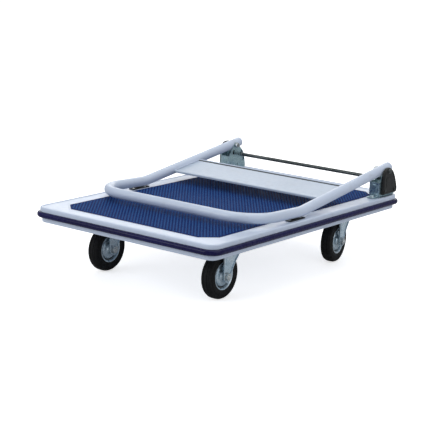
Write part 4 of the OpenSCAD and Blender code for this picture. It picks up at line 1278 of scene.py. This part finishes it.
def channels():
    cross = Part()
    for y in (FIXED_Y, KINGPIN_Y):
        cross.add(channel(500, CROSS_W, CHANNEL_H, 2), None, (0, y, PLATE_TOP))
    emit("cross_members", cross, "white_paint", "cross_channels")
    along = Part()
    for side in (-1, 1):
        along.add(channel(LONG_Y1 - LONG_Y0, LONG_W, CHANNEL_H - 2, 1.8), rotz(pi / 2),
                  (side * LONG_X, (LONG_Y0 + LONG_Y1) / 2, PLATE_TOP + 2))
    emit("long_members", along, "white_paint", "long_channels")


def channel_welds():
    """Stitch welds between the channels and the sheet."""
    rng = np.random.RandomState(5)
    half_cross, half_long = CROSS_W / 2, LONG_W / 2
    runs = [((x - 14, y), (x + 14, y)) for middle in (FIXED_Y, KINGPIN_Y)
            for y in (middle - half_cross, middle + half_cross) for x in (-210, -60, 60, 210)]
    runs += [((side * LONG_X + dx, y - 12), (side * LONG_X + dx, y + 12)) for side in (-1, 1)
             for dx in (-half_long, half_long) for y in np.linspace(LONG_Y0 + 30, LONG_Y1 - 30, 5)]
    part, last = Part(), 24
    for start, end in runs:
        start, end = np.array([*start, UNDER_Z]), np.array([*end, UNDER_Z])
        path = [start + (end - start) * i / last + np.array([0, 0, -0.7 + 0.06 * rng.randn()])
                for i in range(last + 1)]
        sizes = [bead_size(i, last, start=0.3, taper=3, ripple=0.15, pace=2.0,
                           jitter=0.04 * rng.randn()) for i in range(last + 1)]
        part.add(sweep(path, circle(2.0, 8), scale=sizes))
    emit("channel_welds", part, "white_paint", angle=60)


def rest_pads():
    """Rubber pads with a ribbed top, each held by two rivets."""
    top = box_mm("handle_rest_pads")[1][2]
    x, middle, rivets = TUBE_X + 1, KINK_Y - 24, (-24, 24)
    loop = roundpoly([(-10.5, -35), (10.5, -35), (10.5, 35), (-10.5, 35)], 4, 6)
    holes = [circle(4.1, 20, (0, y)) for y in rivets]
    part = Part().add(plate([loop] + holes, BAND_Z + 0.01, top - 0.55, 0.6), None, (x, middle, 0))
    for y in (-12, -6, 0, 6, 12):
        rib = roundpoly([(-9, y - 1.6), (9, y - 1.6), (9, y + 1.6), (-9, y + 1.6)], 1.4)
        part.add(plate([rib], top - 1.6, top, 0.35), None, (x, middle, 0))
    emit("rest_pad_pair", part.both(), "black_rubber", "handle_rest_pads")
    head = [(1.9, 0), (1.9, 1.2), (3.7, 1.24), (3.8, 1.5), (3.3, 2.0), (1.8, 2.2), (0.4, 2.2)]
    part = Part()
    for y in rivets:
        part.add(revolve(head, 24), None, (x, middle + y, BAND_Z + 0.02))
    emit("pad_rivet_heads", part.both(), "bright_zinc", "pad_rivets")


channels()
channel_welds()
rest_pads()

# the latch levers keep their CAD shape
for name, lever in frame["nodes"].items():
    if name.startswith("latch_lever"):
        lever.data.materials.clear()
        lever.data.materials.append(MATERIALS["bracket_zinc"])
        lever.modifiers.new("weld", "WELD").merge_threshold = 1e-6
        bevel = lever.modifiers.new("edges", "BEVEL")
        bevel.width, bevel.segments = 0.0004, 2
        bevel.limit_method, bevel.angle_limit = "ANGLE", radians(40)
        add_weighted_normals(lever, keep_sharp=False)


# ------------------------------------------------------------------ floor, light, camera; metres
def studio_floor(half=60):
    mesh = bpy.data.meshes.new("studio_floor")
    corners = [(-half, -half, 0), (half, -half, 0), (half, half, 0), (-half, half, 0)]
    mesh.from_pydata(corners, [], [[0, 1, 2, 3]])
    mesh.materials.append(MATERIALS["floor"])
    ob = bpy.data.objects.new("studio_floor", mesh)
    bpy.context.scene.collection.objects.link(ob)


def studio_world():
    """Soft sky, bluish at the horizon and white overhead."""
    world = bpy.data.worlds.new("studio")
    bpy.context.scene.world = world
    world.use_nodes = True
    tree = world.node_tree
    tree.nodes.clear()
    coords = add_node(tree, "ShaderNodeTexCoord").outputs["Generated"]
    height = add_node(tree, "ShaderNodeSeparateXYZ", Vector=coords).outputs[2]
    share = add_node(tree, "ShaderNodeMapRange", Value=height, From_Min=-0.05, From_Max=0.9)
    sky = mix_colours(tree, first=(0.86, 0.90, 0.98, 1), second=(1.0, 1.0, 1.0, 1),
                      factor=share.outputs["Result"])
    glow = add_node(tree, "ShaderNodeBackground", Color=sky, Strength=0.5)
    add_node(tree, "ShaderNodeOutputWorld", Surface=glow.outputs[0])


def area_light(name, at, aim, size, watts, colour=(1, 1, 1)):
    light = bpy.data.lights.new(name, "AREA")
    light.shape = "RECTANGLE"
    light.size, light.size_y = size
    light.energy = watts
    light.color = colour
    ob = bpy.data.objects.new(name, light)
    bpy.context.scene.collection.objects.link(ob)
    ob.location = at
    ob.rotation_euler = (Vector(aim) - Vector(at)).to_track_quat("-Z", "Y").to_euler()
    return ob


def camera():
    data = bpy.data.cameras.new("photo_view")
    ob = bpy.data.objects.new("photo_view", data)
    bpy.context.scene.collection.objects.link(ob)
    right = Vector((0.8008, 0.5974, 0.0429))
    back = Vector((0.5754, -0.7873, 0.2214)).normalized()
    right = (right - back * right.dot(back)).normalized()
    pose = Matrix((right, back.cross(right), back)).transposed().to_4x4()
    pose.translation = (2.2315, -3.0531, 1.0086)
    ob.matrix_world = pose
    data.sensor_width = 36
    data.lens = 111.9833557
    data.shift_x, data.shift_y = -0.00407158837, -0.0241834452
    data.clip_end = 200
    bpy.context.scene.camera = ob


studio_floor()
studio_world()
area_light("top_box", at=(0.2, 0.6, 3.2), aim=(0, 0, 0.2), size=(3.0, 3.0), watts=42)
area_light("front_box", at=(-1.6, -3.4, 2.0), aim=(0, -0.1, 0.15), size=(2.4, 1.8), watts=46,
           colour=(0.97, 0.98, 1.0))
area_light("right_box", at=(3.4, -0.6, 1.9), aim=(0.1, 0, 0.15), size=(2.0, 1.6), watts=18,
           colour=(0.98, 0.99, 1.0))
back_box = area_light("back_box", at=(-2.4, 3.4, 1.5), aim=(0, 0.1, 0.2), size=(3.6, 1.4),
                      watts=26)
back_box.visible_camera = False
camera()
bpy.context.scene.view_settings.view_transform = "Standard"
bpy.context.scene.view_settings.look = "None"
